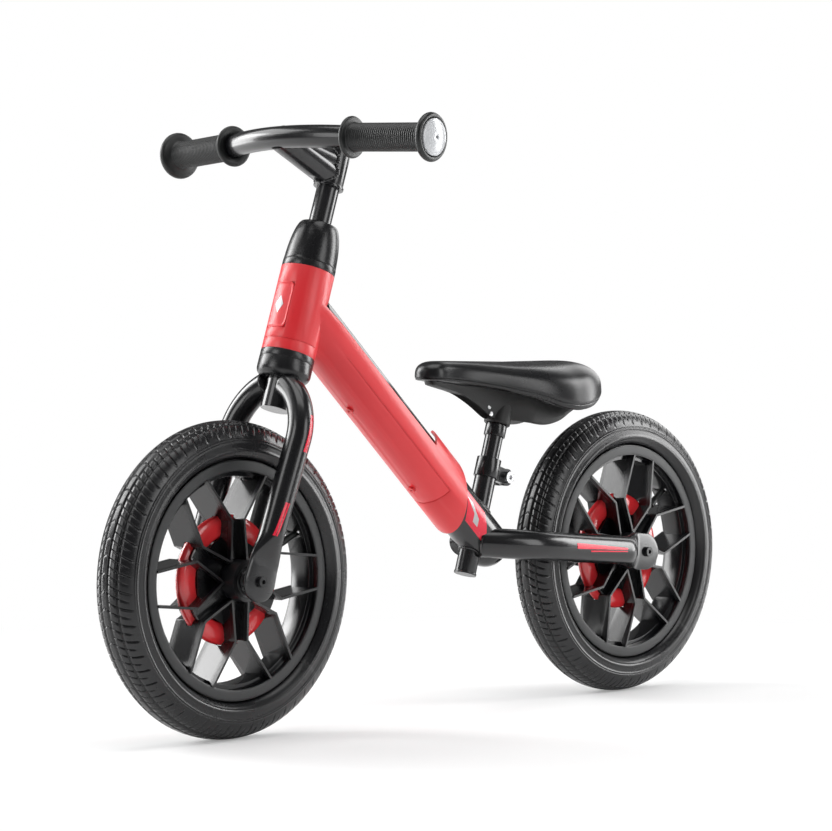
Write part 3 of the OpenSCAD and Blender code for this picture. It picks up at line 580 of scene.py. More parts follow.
class Tyre(SubAssembly):
    """A tyre with a cut tread, block shoulders and fine rings on its walls."""

    def __init__(self, library: Library, end: str, sizes: TyreSizes) -> None:
        super().__init__(library)
        self.end = end
        self.sizes = sizes
        low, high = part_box(f"{end}_tyre")
        self.radius = (high.z - low.z) / 2 / MM
        self.axis = Axis.make(node_centre(f"{end}_tyre"), (0, 1, 0), (1, 0, 0))

    def half_rows(self) -> list[tuple[float, float, str]]:
        """Returns (distance from the mid-plane, radius, zone) from the crown to the bead."""
        z = self.sizes
        inner = self.radius - z.section_h

        def crown(y: float) -> float:
            """Radius of the tread at y."""
            turn = math.asin(min(1.0, (y / z.half_width) ** (1 / z.power)))
            return inner + z.section_h * math.cos(turn) ** z.power

        def wall(r: float) -> float:
            """Half width of the section at radius r."""
            turn = math.acos(((r - inner) / z.section_h) ** (1 / z.power))
            return z.half_width * math.sin(turn) ** z.power

        tread = (("rib", (0.0, 2.0, 3.6)), ("ring", (4.0, 5.4)), ("block", (5.8, 8.0, 10.4, 12.6)),
                 ("ring", (13.0, 14.2)), ("shoulder", (14.6, 16.6, 18.6, 20.4, 21.6)), ("wall", (22.3,)))
        rows = [(y, crown(y), zone) for zone, ys in tread for y in ys]
        foot = self.radius - 16.0
        for dr, zone in ((0, "wall"), (1.0, "wall"), (1.3, "line"), (1.9, "line"), (2.2, "wall"),
                         (3.0, "wall"), (3.3, "line"), (3.9, "line"), (4.2, "wall"), (6.2, "wall"),
                         (8.4, "wall")):
            rows.append((wall(foot - dr), foot - dr, zone))
        bead_r = self.radius - 35.9
        for y, up, zone in ((24.85, 9.4, "wall"), (24.8, 9.0, "bead"), (24.4, 6.6, "bead"),
                            (24.2, 6.2, "wall"), (23.3, 4.6, "wall"), (21.6, 2.7, "wall"),
                            (19.6, 1.1, "wall"), (17.4, 0.0, "wall")):
            rows.append((y, bead_r + up, zone))
        return rows

    def build(self) -> None:
        """Builds the tyre as one sheared grid, so that every cut follows its lines."""
        z = self.sizes
        half = self.half_rows()
        rows = [(-y, r, zone) for y, r, zone in reversed(half[1:])] + half
        flat = np.array([(y, r) for y, r, _ in rows])
        ahead = np.gradient(flat, axis=0)
        normal = np.stack([-ahead[:, 1], ahead[:, 0]], 1)
        normal /= np.linalg.norm(normal, axis=1)[:, None]
        phases = (0.0, 0.02, 0.05, 0.085, 0.105, 0.24, 0.38, 0.50, 0.52, 0.55, 0.585, 0.605, 0.74, 0.87)
        pitch = 2 * math.pi / z.blocks
        grid = np.zeros((len(rows), len(phases) * z.blocks, 3))
        for i, (y, r, zone) in enumerate(rows):
            lean = z.sweep * min(abs(y), 22.0) / self.radius
            for k, phase in enumerate(phases):
                drop = 0.0
                cut_a, cut_b = k in (2, 3), k in (9, 10)
                if zone == "ring":
                    drop = z.ring_depth
                elif zone == "block" and (cut_a or cut_b):
                    drop = z.cut_depth
                elif zone == "shoulder" and cut_b:
                    drop = z.edge_depth
                elif zone == "shoulder" and cut_a and abs(y) < 19:
                    drop = z.edge_depth * 0.6
                elif zone == "rib" and cut_a and abs(y) > 1:
                    drop = 0.7
                elif zone == "line":
                    drop = -0.35
                elif zone == "bead":
                    drop = -0.45
                at_y = y - normal[i, 0] * drop
                at_r = r - normal[i, 1] * drop
                for b in range(z.blocks):
                    angle = (b + phase) * pitch + lean
                    grid[i, b * len(phases) + k] = self.axis.point(at_y, at_r, angle)
        outer = grid_mesh(f"{self.end}_tyre_cut", grid, wrap_cols=True)
        probe = outer.data.polygons[len(outer.data.polygons) // 2]
        away = np.array(probe.center) / MM - self.axis.origin
        if np.dot(np.array(probe.normal), away) < 0:
            outer.data.flip_normals()
        self.finish(outer, f"{self.end}_wheel", "tyre_rubber", stands_for=[f"{self.end}_tyre"])


@dataclass
class RingSizes:
    """Sizes of the red ring round a hub."""

    inner: float = 41.0
    outer: float = 62.6
    half: float = 5.4


class HubRing(SubAssembly):
    """The rounded red ring between the hub's plate and the windows."""

    def __init__(self, library: Library, end: str, sizes: RingSizes) -> None:
        super().__init__(library)
        self.end = end
        self.sizes = sizes
        self.axis = Axis.make(node_centre(f"{end}_light_ring"), (0, 1, 0), (1, 0, 0))

    def build(self) -> None:
        """Builds the ring's rounded section with a fine moulded step."""
        z = self.sizes
        middle, reach = (z.inner + z.outer) / 2, (z.outer - z.inner) / 2
        section = []
        for a in np.linspace(0, 2 * math.pi, 44, endpoint=False):
            c, s = math.cos(a), math.sin(a)
            r = middle + reach * math.copysign(abs(c) ** 0.8, c)
            y = z.half * math.copysign(abs(s) ** 0.75, s)
            if 0.55 < c < 0.72:
                y *= 0.94
            section.append((y, r))
        ring = turned(f"{self.end}_hub_ring", self.axis, section, 144, closed=True)
        self.finish(ring, f"{self.end}_wheel", "red_ring", stands_for=[f"{self.end}_light_ring"])


class RimFlange(SubAssembly):
    """The matt bands pressed on the two outer faces of a rim."""

    def __init__(self, library: Library, end: str) -> None:
        super().__init__(library)
        self.end = end
        self.axis = Axis.make(node_centre(f"{end}_rim"), (0, 1, 0), (1, 0, 0))
        low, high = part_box(f"{end}_rim")
        self.radius = (high.z - low.z) / 2 / MM
        self.half = 18.7

    def build(self) -> None:
        """Builds the two bands, one on each face of the rim."""
        for label, side in (("left", 1), ("right", -1)):
            r0, r1, y = self.radius - 10.0, self.radius - 0.4, self.half
            section = [(side * (y - 0.2), r0), (side * (y + 0.25), r0 + 0.5), (side * (y + 0.3), r0 + 1.2),
                       (side * (y + 0.3), r1 - 1.0), (side * (y + 0.1), r1 - 0.2), (side * (y - 0.3), r1)]
            band = turned(f"{self.end}_{label}_flange", self.axis, section, 144, closed=True)
            self.finish(band, f"{self.end}_wheel", "flange_grey", "wheel_plastic")


# ---- Swept tubes ----


@dataclass
class Station:
    """One section of a swept tube.

    Attributes:
        centre: Middle of the section, in millimetres.
        wide: Half size along the tube's wide direction.
        thin: Half size across it.
        power: 1 for an ellipse, less for a squarer section.
    """

    centre: Array
    wide: float
    thin: float
    power: float = 1.0


class SweptTube:
    """A tube whose section changes along its path, such as a leg with a pressed end."""

    def __init__(self, stations: Sequence[Station], wide_dir: Sequence[float], columns: int = 48) -> None:
        self.stations = list(stations)
        self.wide_dir = np.asarray(wide_dir, float)
        self.columns = columns
        centres = np.array([s.centre for s in self.stations])
        self.tangents = np.gradient(centres, axis=0)
        self.tangents /= np.linalg.norm(self.tangents, axis=1)[:, None]

    def skin(self, row: float, angle: float, lift: float = 0.0) -> Array:
        """Returns a point of the skin at a fractional row and an angle from the wide direction."""
        i = int(min(max(row, 0), len(self.stations) - 1.000001))
        f = row - i
        a, b = self.stations[i], self.stations[i + 1]
        centre = a.centre * (1 - f) + b.centre * f
        wide = a.wide * (1 - f) + b.wide * f + lift
        thin = a.thin * (1 - f) + b.thin * f + lift
        power = a.power * (1 - f) + b.power * f
        tangent = self.tangents[i] * (1 - f) + self.tangents[i + 1] * f
        tangent /= np.linalg.norm(tangent)
        u = self.wide_dir - tangent * (self.wide_dir @ tangent)
        u /= np.linalg.norm(u)
        v = np.cross(tangent, u)
        c, s = math.cos(angle), math.sin(angle)
        return (centre + u * wide * math.copysign(abs(c) ** power, c)
                + v * thin * math.copysign(abs(s) ** power, s))

    def mesh(self, name: str) -> bpy.types.Object:
        """Builds the tube as a closed mesh."""
        turns = np.linspace(0, 2 * math.pi, self.columns, endpoint=False)
        rows = [[self.skin(min(i, len(self.stations) - 1.0001), a) for a in turns]
                for i in range(len(self.stations))]
        return face_outward(grid_mesh(name, np.array(rows), wrap_cols=True, caps=True))

    def patch(self, name: str, rows: tuple[float, float], low: tuple[float, float],
              high: tuple[float, float], lift: float = 0.12) -> bpy.types.Object:
        """Builds a sticker on the skin between two rows and two sloping angles, in degrees."""
        grid = []
        for u in np.linspace(0, 1, 28):
            a = math.radians(low[0] * (1 - u) + low[1] * u)
            b = math.radians(high[0] * (1 - u) + high[1] * u)
            row = rows[0] * (1 - u) + rows[1] * u
            grid.append([self.skin(row, a * (1 - w) + b * w, lift) for w in np.linspace(0, 1, 7)])
        return grid_mesh(name, np.array(grid))


def mirrored(obj: bpy.types.Object, name: str) -> bpy.types.Object:
    """Returns a copy of an object on the other side of the bike's middle plane."""
    mesh = obj.data.copy()
    mesh.name = name
    mesh.transform(Matrix.Scale(-1, 4, Vector((0, 1, 0))))
    mesh.flip_normals()
    made = bpy.data.objects.new(name, mesh)
    bpy.context.scene.collection.objects.link(made)
    return made


@dataclass
class LegSizes:
    """Sizes of a fork leg, in the frame of the steering axis."""

    radius: float = 12.5
    centre_y: float = 48.0
    bend_r: float = 60.0
    bend_s: float = 140.0
    bend_turn: float = 66.0
    top_forward: float = 5.0
    plate_y: float = 46.5
    plate_half: float = 2.5
    plate_r: float = 20.0
    axle_forward: float = 9.6


class Fork(SubAssembly):
    """The two fork legs with their pressed ends, and the stripes on them."""

    def __init__(self, library: Library, sizes: LegSizes) -> None:
        super().__init__(library)
        self.sizes = sizes
        self.axis = joint_axis("steering", (1, 0, 0))

    def place(self, forward: float, y: float, s: float) -> Array:
        """Returns the point at a place of the steering frame."""
        return self.axis.origin + forward * self.axis.zero + np.array([0, y, 0]) + s * self.axis.along

    def stations(self) -> list[Station]:
        """Returns the leg's sections from the crown down to the end."""
        z = self.sizes
        rows: list[Station] = []
        for turn in np.linspace(z.bend_turn, 0, 26):
            t = math.radians(turn)
            y = z.centre_y - z.bend_r + z.bend_r * math.cos(t)
            centre = self.place(z.top_forward, y, z.bend_s + z.bend_r * math.sin(t))
            rows.append(Station(centre, z.radius, z.radius))
        axle_s = -z.axle_forward * math.tan(math.atan2(-self.axis.along[0], self.axis.along[2]))
        for s in np.linspace(z.bend_s - 6, axle_s - z.plate_r + 0.02, 62):
            drop = (z.bend_s - s) / (z.bend_s - 40)
            forward = z.top_forward + (z.axle_forward - 1 - z.top_forward) * min(drop, 1.0)
            y = z.centre_y + (z.plate_y - z.centre_y) * min(drop, 1.0)
            flat = min(max((46 - s) / 34, 0.0), 1.0)
            flat = flat * flat * (3 - 2 * flat)
            wide = z.radius + (z.plate_r - 1.2 - z.radius) * flat
            thin = z.radius + (z.plate_half - z.radius) * flat
            if s < 40:
                forward = z.axle_forward - max(s - 10, 0) / 30
                near = min(max((12 - s) / 14, 0.0), 1.0)
                wide = wide * (1 - near) + z.plate_r * near
            if s < axle_s:
                wide = math.sqrt(max(z.plate_r ** 2 - (s - axle_s) ** 2, 0.05))
            rows.append(Station(self.place(forward, y, s), wide, thin, 1.0 - 0.35 * flat))
        return rows

    def row_at(self, stations: Sequence[Station], s: float) -> float:
        """Returns the fractional row at a distance along the steering axis."""
        at = [float((st.centre - self.axis.origin) @ self.axis.along) for st in stations]
        return float(np.interp(-s, -np.array(at), np.arange(len(at))))

    def build(self) -> None:
        """Builds both legs and their stripes."""
        stations = self.stations()
        tube = SweptTube(stations, self.axis.zero)
        leg = tube.mesh("left_leg_tube")
        self.finish(leg, "steering", "frame_paint", stands_for=["left_fork_leg"])
        self.finish(mirrored(leg, "right_leg_tube"), "steering", "frame_paint", stands_for=["right_fork_leg"])
        middle = self.row_at(stations, 100.0)
        outward = 1 if tube.skin(middle, math.radians(90))[1] > self.sizes.centre_y else -1
        for label, s_top, s_low, top, low in (("upper", 160, 127, 104, 98), ("lower", 75, 41, 82, 66)):
            rows = (self.row_at(stations, s_top), self.row_at(stations, s_low))
            for part, start, width in (("wide", 0, 12), ("thin", 15, 8)):
                patch = tube.patch(f"left_{label}_{part}_stripe", rows,
                                   (outward * (top - 12 + start), outward * (low - 12 + start)),
                                   (outward * (top - 12 + start + width),
                                    outward * (low - 12 + start + width)))
                self.finish(patch, "steering", "decal_red", "cover_red")
                other = mirrored(patch, f"right_{label}_{part}_stripe")
                self.finish(other, "steering", "decal_red", "cover_red")


@dataclass
class StaySizes:
    """Sizes of a rear stay."""

    radius: float = 15.5
    centre_y: float = 45.0
    plate_y: float = 41.0
    plate_half: float = 2.5
    plate_r: float = 19.6
    start: tuple[float, float, float] = (-56.0, 10.0, 171.8)


class Stays(SubAssembly):
    """The two rear stays with their pressed ends and stripes."""

    def __init__(self, library: Library, sizes: StaySizes) -> None:
        super().__init__(library)
        self.sizes = sizes
        self.axle = node_centre("rear_axle")

    def build(self) -> None:
        """Builds both stays and their stripes."""
        z = self.sizes
        start = np.array(z.start)
        slope = (start[2] - self.axle[2]) / (start[0] - self.axle[0])

        def on_line(x: float, y: float) -> Array:
            """Point of the stay's centre line at x, moved out to y."""
            return np.array([x, y, self.axle[2] + (x - self.axle[0]) * slope])

        path = [start, on_line(-84, 29), on_line(-108, 40.5), on_line(-132, 44.4), on_line(-160, z.centre_y)]
        rows = [Station(p, z.radius, z.radius) for p in smooth_curve(path, 34)]
        for x in np.linspace(-166, self.axle[0] - z.plate_r + 0.02, 64):
            flat = min(max((self.axle[0] + 44 - x) / 30, 0.0), 1.0)
            flat = flat * flat * (3 - 2 * flat)
            y = z.centre_y + (z.plate_y - z.centre_y) * flat
            tall = z.radius + (z.plate_r - z.radius) * flat
            thin = z.radius + (z.plate_half - z.radius) * flat
            if x < self.axle[0]:
                tall = math.sqrt(max(z.plate_r ** 2 - (x - self.axle[0]) ** 2, 0.05))
            rows.append(Station(on_line(x, y), tall, thin, 1.0 - 0.35 * flat))
        tube = SweptTube(rows, (0, 0, 1))
        stay = tube.mesh("left_stay_tube")
        self.finish(stay, "frame", "frame_paint", stands_for=["left_stay"])
        self.finish(mirrored(stay, "right_stay_tube"), "frame", "frame_paint", stands_for=["right_stay"])
        at = -np.array([float(st.centre[0]) for st in rows])
        outward = 1 if tube.skin(50.0, math.radians(90))[1] > rows[50].centre[1] else -1
        for part, ends, low, high in (("wide", (154, 236), (72, 80), (94, 88)),
                                      ("thin", (176, 236), (98, 92), (104, 96))):
            span = (float(np.interp(ends[0], at, np.arange(len(at)))),
                    float(np.interp(ends[1], at, np.arange(len(at)))))
            patch = tube.patch(f"left_stay_{part}_stripe", span, (outward * low[0], outward * low[1]),
                               (outward * high[0], outward * high[1]))
            self.finish(patch, "frame", "decal_red", "cover_red")
            self.finish(mirrored(patch, f"right_stay_{part}_stripe"), "frame", "decal_red", "cover_red")


# ---- Frame trim ----


def cylinder_patch(name: str, axis: Axis, radius: float,
                   outline: Callable[[float, float], tuple[float, float]],
                   count: tuple[int, int] = (24, 24)) -> bpy.types.Object:
    """Builds a thin piece on a cylinder.

    Args:
        name: Name of the piece.
        axis: Axis of the cylinder.
        radius: Radius that the piece lies on.
        outline: Turns two shares from 0 to 1 into a distance along the axis and an angle in degrees.
        count: Number of rows and columns.
    """
    grid = []
    for u in np.linspace(0, 1, count[0]):
        row = []
        for v in np.linspace(0, 1, count[1]):
            s, angle = outline(float(u), float(v))
            row.append(axis.point(s, radius, math.radians(angle)))
        grid.append(row)
    return grid_mesh(name, np.array(grid))


@dataclass
class TrimSizes:
    """Sizes of the badge and of the tube's stickers."""

    slope: float = 42.75
    tube_r: float = 24.0
    head_r: float = 26.5
    badge_low: float = 246.0
    badge_high: float = 293.0
    badge_turn: float = 27.0
    sleeve_r: float = 14.0
    arm_r: float = 13.4
    arm_s: float = 412.0
    arm_reach: float = 68.5
    arm_rise: float = 27.1
    arm_gap: float = 13.0


class FrameTrim(SubAssembly):
    """The badge on the head, the tube's stickers and the weld beads."""

    def __init__(self, library: Library, sizes: TrimSizes) -> None:
        super().__init__(library)
        self.sizes = sizes
        self.head = joint_axis("steering", (1, 0, 0))
        slope = math.radians(sizes.slope)
        low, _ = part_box("main_tube")
        rear = np.array([low.x / MM + sizes.tube_r, 0.0, 0.0])
        down = np.array([-math.cos(slope), 0.0, -math.sin(slope)])
        start = self.head.origin + 277.0 * self.head.along
        self.main = Axis.make(start, down, (-math.sin(slope), 0, math.cos(slope)))
        self.end_t = (start[0] - rear[0]) / math.cos(slope)

    def badge(self) -> None:
        """Builds the head's panel with rounded corners, a raised rim and a plain mark."""
        z = self.sizes
        tall = (z.badge_high - z.badge_low) / 2
        wide = math.radians(z.badge_turn) * z.head_r
        middle = (z.badge_high + z.badge_low) / 2

        def ring(scale_in: float, lift: float, count: int = 96) -> list[Array]:
            """One closed row of the panel, smaller by scale_in and raised by lift."""
            points = []
            for a in np.linspace(0, 2 * math.pi, count, endpoint=False):
                c, s = math.cos(a), math.sin(a)
                u = (tall - scale_in) * math.copysign(abs(s) ** 0.28, s)
                v = (wide - scale_in) * math.copysign(abs(c) ** 0.28, c)
                points.append(self.head.point(middle + u, z.head_r + lift, v / z.head_r))
            return points

        steps = ((0.0, -1.0), (0.0, 0.15), (0.25, 0.45), (0.8, 0.5), (1.3, 0.42), (1.5, 0.12),
                 (3.5, 0.1), (7.0, 0.1), (10.5, 0.1))
        rows = [ring(scale_in, lift) for scale_in, lift in steps]
        panel = grid_mesh("badge_plate", np.array(rows), wrap_cols=True, caps=True)
        self.finish(panel, "frame", "cover_red", stands_for=["badge_panel"])

        def diamond(u: float, v: float) -> tuple[float, float]:
            """Outline of the mark."""
            half = 11.0 * (1 - abs(2 * u - 1))
            return middle + 9.0 * (2 * u - 1), half * (2 * v - 1)

        mark = cylinder_patch("badge_diamond", self.head, z.head_r + 0.25, diamond, (25, 13))
        self.finish(mark, "frame", "decal_silver", "bright_steel")

    def stickers(self) -> None:
        """Builds the slanted panel stickers on both sides of the tube's lower end."""
        z = self.sizes
        for label, side in (("left", 1), ("right", -1)):
            turn = side if self.main.side[1] > 0 else -side

            def outline(u: float, v: float, inset: float = 0.0, turn: int = turn) -> tuple[float, float]:
                """Outline of the slanted panel."""
                angle = (69 + inset * 1.6) * (1 - v) + (127 - inset * 1.6) * v
                start = 281.5 + 24 * v + inset
                return start + (38 - 2 * inset) * u + 2 * u * v, turn * angle

            panel = cylinder_patch(f"{label}_tube_sticker", self.main, z.tube_r + 0.12, outline)
            self.finish(panel, "frame", "decal_red", "cover_red")

            def arrow(u: float, v: float, turn: int = turn) -> tuple[float, float]:
                """Outline of the arrow on the panel."""
                angle = 82 + 32 * v
                return 300 + 24 * v + 9 * (u - 0.5) - 14 * abs(v - 0.5), turn * angle

            mark = cylinder_patch(f"{label}_tube_arrow", self.main, z.tube_r + 0.2, arrow)
            self.finish(mark, "frame", "decal_silver", "bright_steel")

    def welds(self) -> None:
        """Builds the weld beads where the seat tube and the stem's arm meet other tubes."""
        seat = joint_axis("seat_height", (1, 0, 0))
        centre = node_centre("seat_tube")
        seat = Axis.make(centre, seat.along, seat.zero)
        for label, sign in (("upper", 1), ("lower", -1)):
            line = crossing(seat, 11.2, self.main, self.sizes.tube_r, sign)
            self.finish(bead(f"seat_{label}_weld", line, 1.5, 0.5, 34), "frame", "frame_paint")
        self.finish(bead("arm_weld", self.arm_line(), 1.6, 0.6, 40), "stem_and_bar", "frame_paint")

    def arm_line(self) -> Array:
        """Returns the closed line where the arm's two tubes meet the stem's sleeve."""
        z = self.sizes
        rise = math.radians(z.arm_rise)
        foot = self.head.origin + z.arm_s * self.head.along
        end = foot + z.arm_reach / math.cos(rise) * np.array([math.cos(rise), 0.0, math.sin(rise)])
        tubes = []
        for lift, radius in ((0.0, z.arm_r), (z.arm_gap, z.arm_r - 0.8)):
            start = foot + lift * self.head.along
            tubes.append((Axis.make(start, end - start, (0, 1, 0)), radius))
        kept = []
        for (tube, radius), (other, limit) in (tubes, tubes[::-1]):
            lines = [crossing(tube, radius, self.head, z.sleeve_r, sign) for sign in (-1, 1)]
            line = max(lines, key=lambda points: points.mean(0)[0])
            away = line - other.origin
            across = away - np.outer(away @ other.along, other.along)
            kept.append(line[np.linalg.norm(across, axis=1) > limit])
        line = np.concatenate(kept)
        centre = line.mean(0)
        turn = np.arctan2((line - centre) @ self.head.along, line[:, 1])
        return line[np.argsort(turn)]

    def build(self) -> None:
        """Builds all the trim."""
        self.badge()
        self.stickers()
        self.welds()


# ---- Handlebar grips ----


@dataclass
class GripSizes:
    """Sizes of a grip."""

    body_r: float = 13.4
    flange_r: float = 20.3
    end_r: float = 23.4
    rib: float = 0.35
    pitch: float = 2.4


class Grips(SubAssembly):
    """The two ribbed rubber grips with their flanges."""

    def __init__(self, library: Library, sizes: GripSizes) -> None:
        super().__init__(library)
        self.sizes = sizes

    def axis_of(self, node: str) -> tuple[Axis, float, float]:
        """Returns a grip's axis, pointing outward, and its inner and outer ends along it."""
        points = node_points(node)
        side = 1 if points[:, 1].mean() > 0 else -1
        caps = node_points("grip_end_caps")
        cap = caps[caps[:, 1] * side > 0].mean(0)
        inner = points[points[:, 1] * side < (points[:, 1] * side).min() + 9].mean(0)
        along = cap - inner
        axis = Axis.make(inner, along, (0, 0, 1))
        s = (points - axis.origin) @ axis.along
        return axis, float(s.min()), float(s.max())

    def build(self) -> None:
        """Builds both grips."""
        z = self.sizes
        for label in ("left", "right"):
            axis, low, high = self.axis_of(f"{label}_grip")
            profile: list[tuple[float, float]] = [(low + 0.4, 11.6)]
            for a in np.linspace(-90, 90, 11):
                t = math.radians(a)
                profile.append((low + 2.6 + 2.4 * math.sin(t), z.flange_r - 2.4 + 2.4 * math.cos(t)))
            profile.append((low + 5.2, z.body_r + 1.6))
            start, stop = low + 6.2, high - 9.5
            steps = int((stop - start) / z.pitch)
            for i in range(steps):
                s = start + i * z.pitch
                for share, rise in ((0.0, 0.0), (0.12, 1.0), (0.5, 1.0), (0.62, 0.0)):
                    profile.append((s + share * z.pitch, z.body_r - z.rib + 2 * z.rib * rise))
            profile.append((stop, z.body_r))
            profile.append((high - 8.2, z.body_r + 1.4))
            for a in np.linspace(-90, 90, 13):
                t = math.radians(a)
                profile.append((high - 3.7 + 3.4 * math.sin(t), z.end_r - 3.4 + 3.4 * math.cos(t)))
            profile += [(high - 0.7, 18.6), (high - 2.2, 17.8), (high - 5.0, 17.7), (high - 5.2, 11.6)]
            grip = turned(f"{label}_grip_rubber", axis, profile, 96, closed=True)
            self.finish(grip, "stem_and_bar", "soft_rubber", stands_for=[f"{label}_grip"])


# ---- Saddle ----


@dataclass
class SaddleSizes:
    """Sizes of the saddle."""

    nose_r: float = 19.0
    flat_len: float = 13.0
    crown: float = 0.70
    belt: float = 0.22
    roll: float = 0.08
    under_inset: float = 9.0
    keel_half: float = 7.0
    lobe_half: float = 24.0
    seam_drop: float = 0.9


class Saddle(SubAssembly):
    """The padded saddle skin, its lower shell and the socket on the post."""

    def __init__(self, library: Library, sizes: SaddleSizes) -> None:
        super().__init__(library)
        self.sizes = sizes
        low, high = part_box("saddle_pad")
        self.nose, self.tail = high.x / MM, low.x / MM
        self.half = (high.y - low.y) / 2 / MM
        self.top = high.z / MM

    def outline(self, count: int = 132) -> Array:
        """Returns the saddle's plan outline, from the tail round the left side and back."""
        z = self.sizes
        flare = self.nose - self.tail - z.nose_r - self.half - z.flat_len
        side: list[tuple[float, float]] = []
        for a in np.linspace(180, 90, 30, endpoint=False):
            t = math.radians(a)
            side.append((self.tail + self.half + self.half * math.cos(t), self.half * math.sin(t)))
        start = self.tail + self.half
        for u in np.linspace(0, 1, 4, endpoint=False):
            side.append((start + z.flat_len * u, self.half))
        for u in np.linspace(0, 1, 30, endpoint=False):
            side.append((start + z.flat_len + flare * u,
                         z.nose_r + (self.half - z.nose_r) * (1 + math.cos(math.pi * u)) / 2))
        for a in np.linspace(90, 0, 14):
            t = math.radians(a)
            side.append((self.nose - z.nose_r + z.nose_r * math.cos(t), z.nose_r * math.sin(t)))
        points = np.array(side)
        back = points[::-1][1:-1] * (1, -1)
        loop = np.vstack([points, back])
        gaps = np.linalg.norm(np.diff(np.vstack([loop, loop[:1]]), axis=0), axis=1)
        at = np.concatenate([[0], np.cumsum(gaps)])
        want = np.linspace(0, at[-1], count, endpoint=False)
        closed = np.vstack([loop, loop[:1]])
        return np.stack([np.interp(want, at, closed[:, k]) for k in (0, 1)], 1)

    def spine(self, x: float) -> float:
        """Returns the place on the middle line that an outline point shrinks towards."""
        return min(max(x, self.tail + self.half * 0.9), self.nose - self.sizes.nose_r)

    def curve(self, x: float, table: Sequence[tuple[float, float]]) -> float:
        """Returns a smooth height at x, from pairs of distance behind the nose and drop below the top."""
        back = self.nose - x
        xs, zs = zip(*table)
        fine = np.linspace(xs[0], xs[-1], 80)
        raw = np.interp(fine, xs, zs)
        kernel = np.hanning(13)
        soft = np.convolve(np.pad(raw, 6, mode="edge"), kernel / kernel.sum(), mode="valid")
        return self.top - float(np.interp(back, fine, soft))

    def top_z(self, x: float) -> float:
        """Height of the middle line of the skin."""
        return self.curve(x, ((0, 3.0), (20, 0.4), (60, 1.6), (110, 4.0), (160, 3.0), (205, 0.4),
                              (226, 2.0), (248, 7.0)))

    def seam_z(self, x: float) -> float:
        """Height of the skin's lower edge."""
        return self.curve(x, ((0, 20), (42, 23), (82, 30), (124, 41), (152, 51), (176, 55), (200, 51),
                              (226, 42), (248, 34)))

    def belly_z(self, x: float) -> float:
        """Height of the lower shell's keel."""
        return self.curve(x, ((0, 21), (12, 25), (53, 34), (81, 48), (104, 64), (122, 62), (140, 66),
                              (164, 69.5), (188, 66), (206, 55), (248, 40)))

    def keel(self, x: float) -> float:
        """Half the width of the shell's lower edge: narrow ahead of the post, wide behind it."""
        share = min(max((-98.0 - x) / 26.0, 0.0), 1.0)
        return self.sizes.keel_half + (self.sizes.lobe_half - self.sizes.keel_half) * share

    def skin(self) -> None:
        """Builds the padded skin: a crowned form with a rolled lower edge and a pressed seam line."""
        z = self.sizes
        loop = self.outline()
        rows = []
        lower = [-52, -44, -36, -29, -24, -22, -20, -18, -12, -6]
        for degree in lower + list(range(0, 71, 7)) + [76, 82, 87]:
            t = math.radians(degree)
            ring = []
            for x, y in loop:
                sx = self.spine(x)
                low, high = self.seam_z(x), self.top_z(x)
                belt = low + z.belt * (high - low)
                if degree >= 0:
                    reach = math.cos(t) ** z.crown
                    px, py = sx + (x - sx) * reach, y * reach
                    top = self.top_z(px)
                    pz = belt + (top - belt) * math.sin(t) ** z.crown
                else:
                    reach = 1 - z.roll * (1 - math.cos(t)) / (1 - math.cos(math.radians(52)))
                    px, py = sx + (x - sx) * reach, y * reach
                    pz = belt - (belt - low) * math.sin(-t) / math.sin(math.radians(52))
                ring.append((px, py, pz))
            ring_points = np.array(ring)
            if degree in (-22, -20):
                centre = np.array([[self.spine(x), 0, 0] for x, _ in loop])
                out = ring_points - centre
                out[:, 2] = 0
                out /= np.linalg.norm(out, axis=1)[:, None] + 1e-9
                ring_points = ring_points - out * z.seam_drop
            rows.append(ring_points)
        skin = grid_mesh("saddle_skin", np.array(rows), wrap_cols=True, caps=True)
        face_outward(skin)
        divide = skin.modifiers.new("soften", "SUBSURF")
        divide.levels = 1
        divide.render_levels = 1
        self.finish(skin, "seat", "saddle_skin", stands_for=["saddle_pad"])

    def shell(self) -> None:
        """Builds the lower shell and its socket."""
        z = self.sizes
        loop = self.outline()
        rows = []
        for share in (0.0, 0.06, 0.14, 0.24, 0.36, 0.5, 0.64, 0.78, 0.9, 0.97, 1.0):
            ring = []
            for x, y in loop:
                sx = self.spine(x)
                inset = 1 - z.under_inset / max(math.hypot(x - sx, y), 1.0)
                ox, oy = sx + (x - sx) * inset, y * inset
                keel = min(1.0, self.keel(ox) / max(abs(oy), 1e-6))
                pull = 1 - math.sin(share * math.pi / 2) ** 0.8
                py = oy * (keel + (1 - keel) * pull) if share < 1 else oy * keel * 0.9
                px = sx + (ox - sx) * (1 - 0.35 * share ** 2)
                edge = self.seam_z(x) + 4.0
                low = min(self.belly_z(px), edge - 1)
                ring.append((px, py, edge - (edge - low) * (1 - math.cos(share * math.pi / 2)) ** 0.9))
            rows.append(ring)
        shell = grid_mesh("saddle_shell", np.array(rows), wrap_cols=True, caps=True)
        face_outward(shell)
        self.finish(shell, "seat", "saddle_shell", "satin_plastic", stands_for=["saddle_base"])
        axis = joint_axis("seat_height", (1, 0, 0))
        ring = node_centre("post_sleeve")
        socket = Axis.make(ring, axis.along, axis.zero)
        profile = [(6.7, 9.6), (6.7, 12.6), (7.6, 13.6), (9.0, 13.8), (22.0, 13.9), (30.0, 15.5),
                   (38.0, 19.0), (38.0, 9.6)]
        cup = turned("saddle_socket", socket, profile, 72, closed=True)
        self.finish(cup, "seat", "saddle_shell", "satin_plastic")

    def build(self) -> None:
        """Builds the saddle."""
        self.skin()
        self.shell()


# ---- The CAD pieces that stay ----


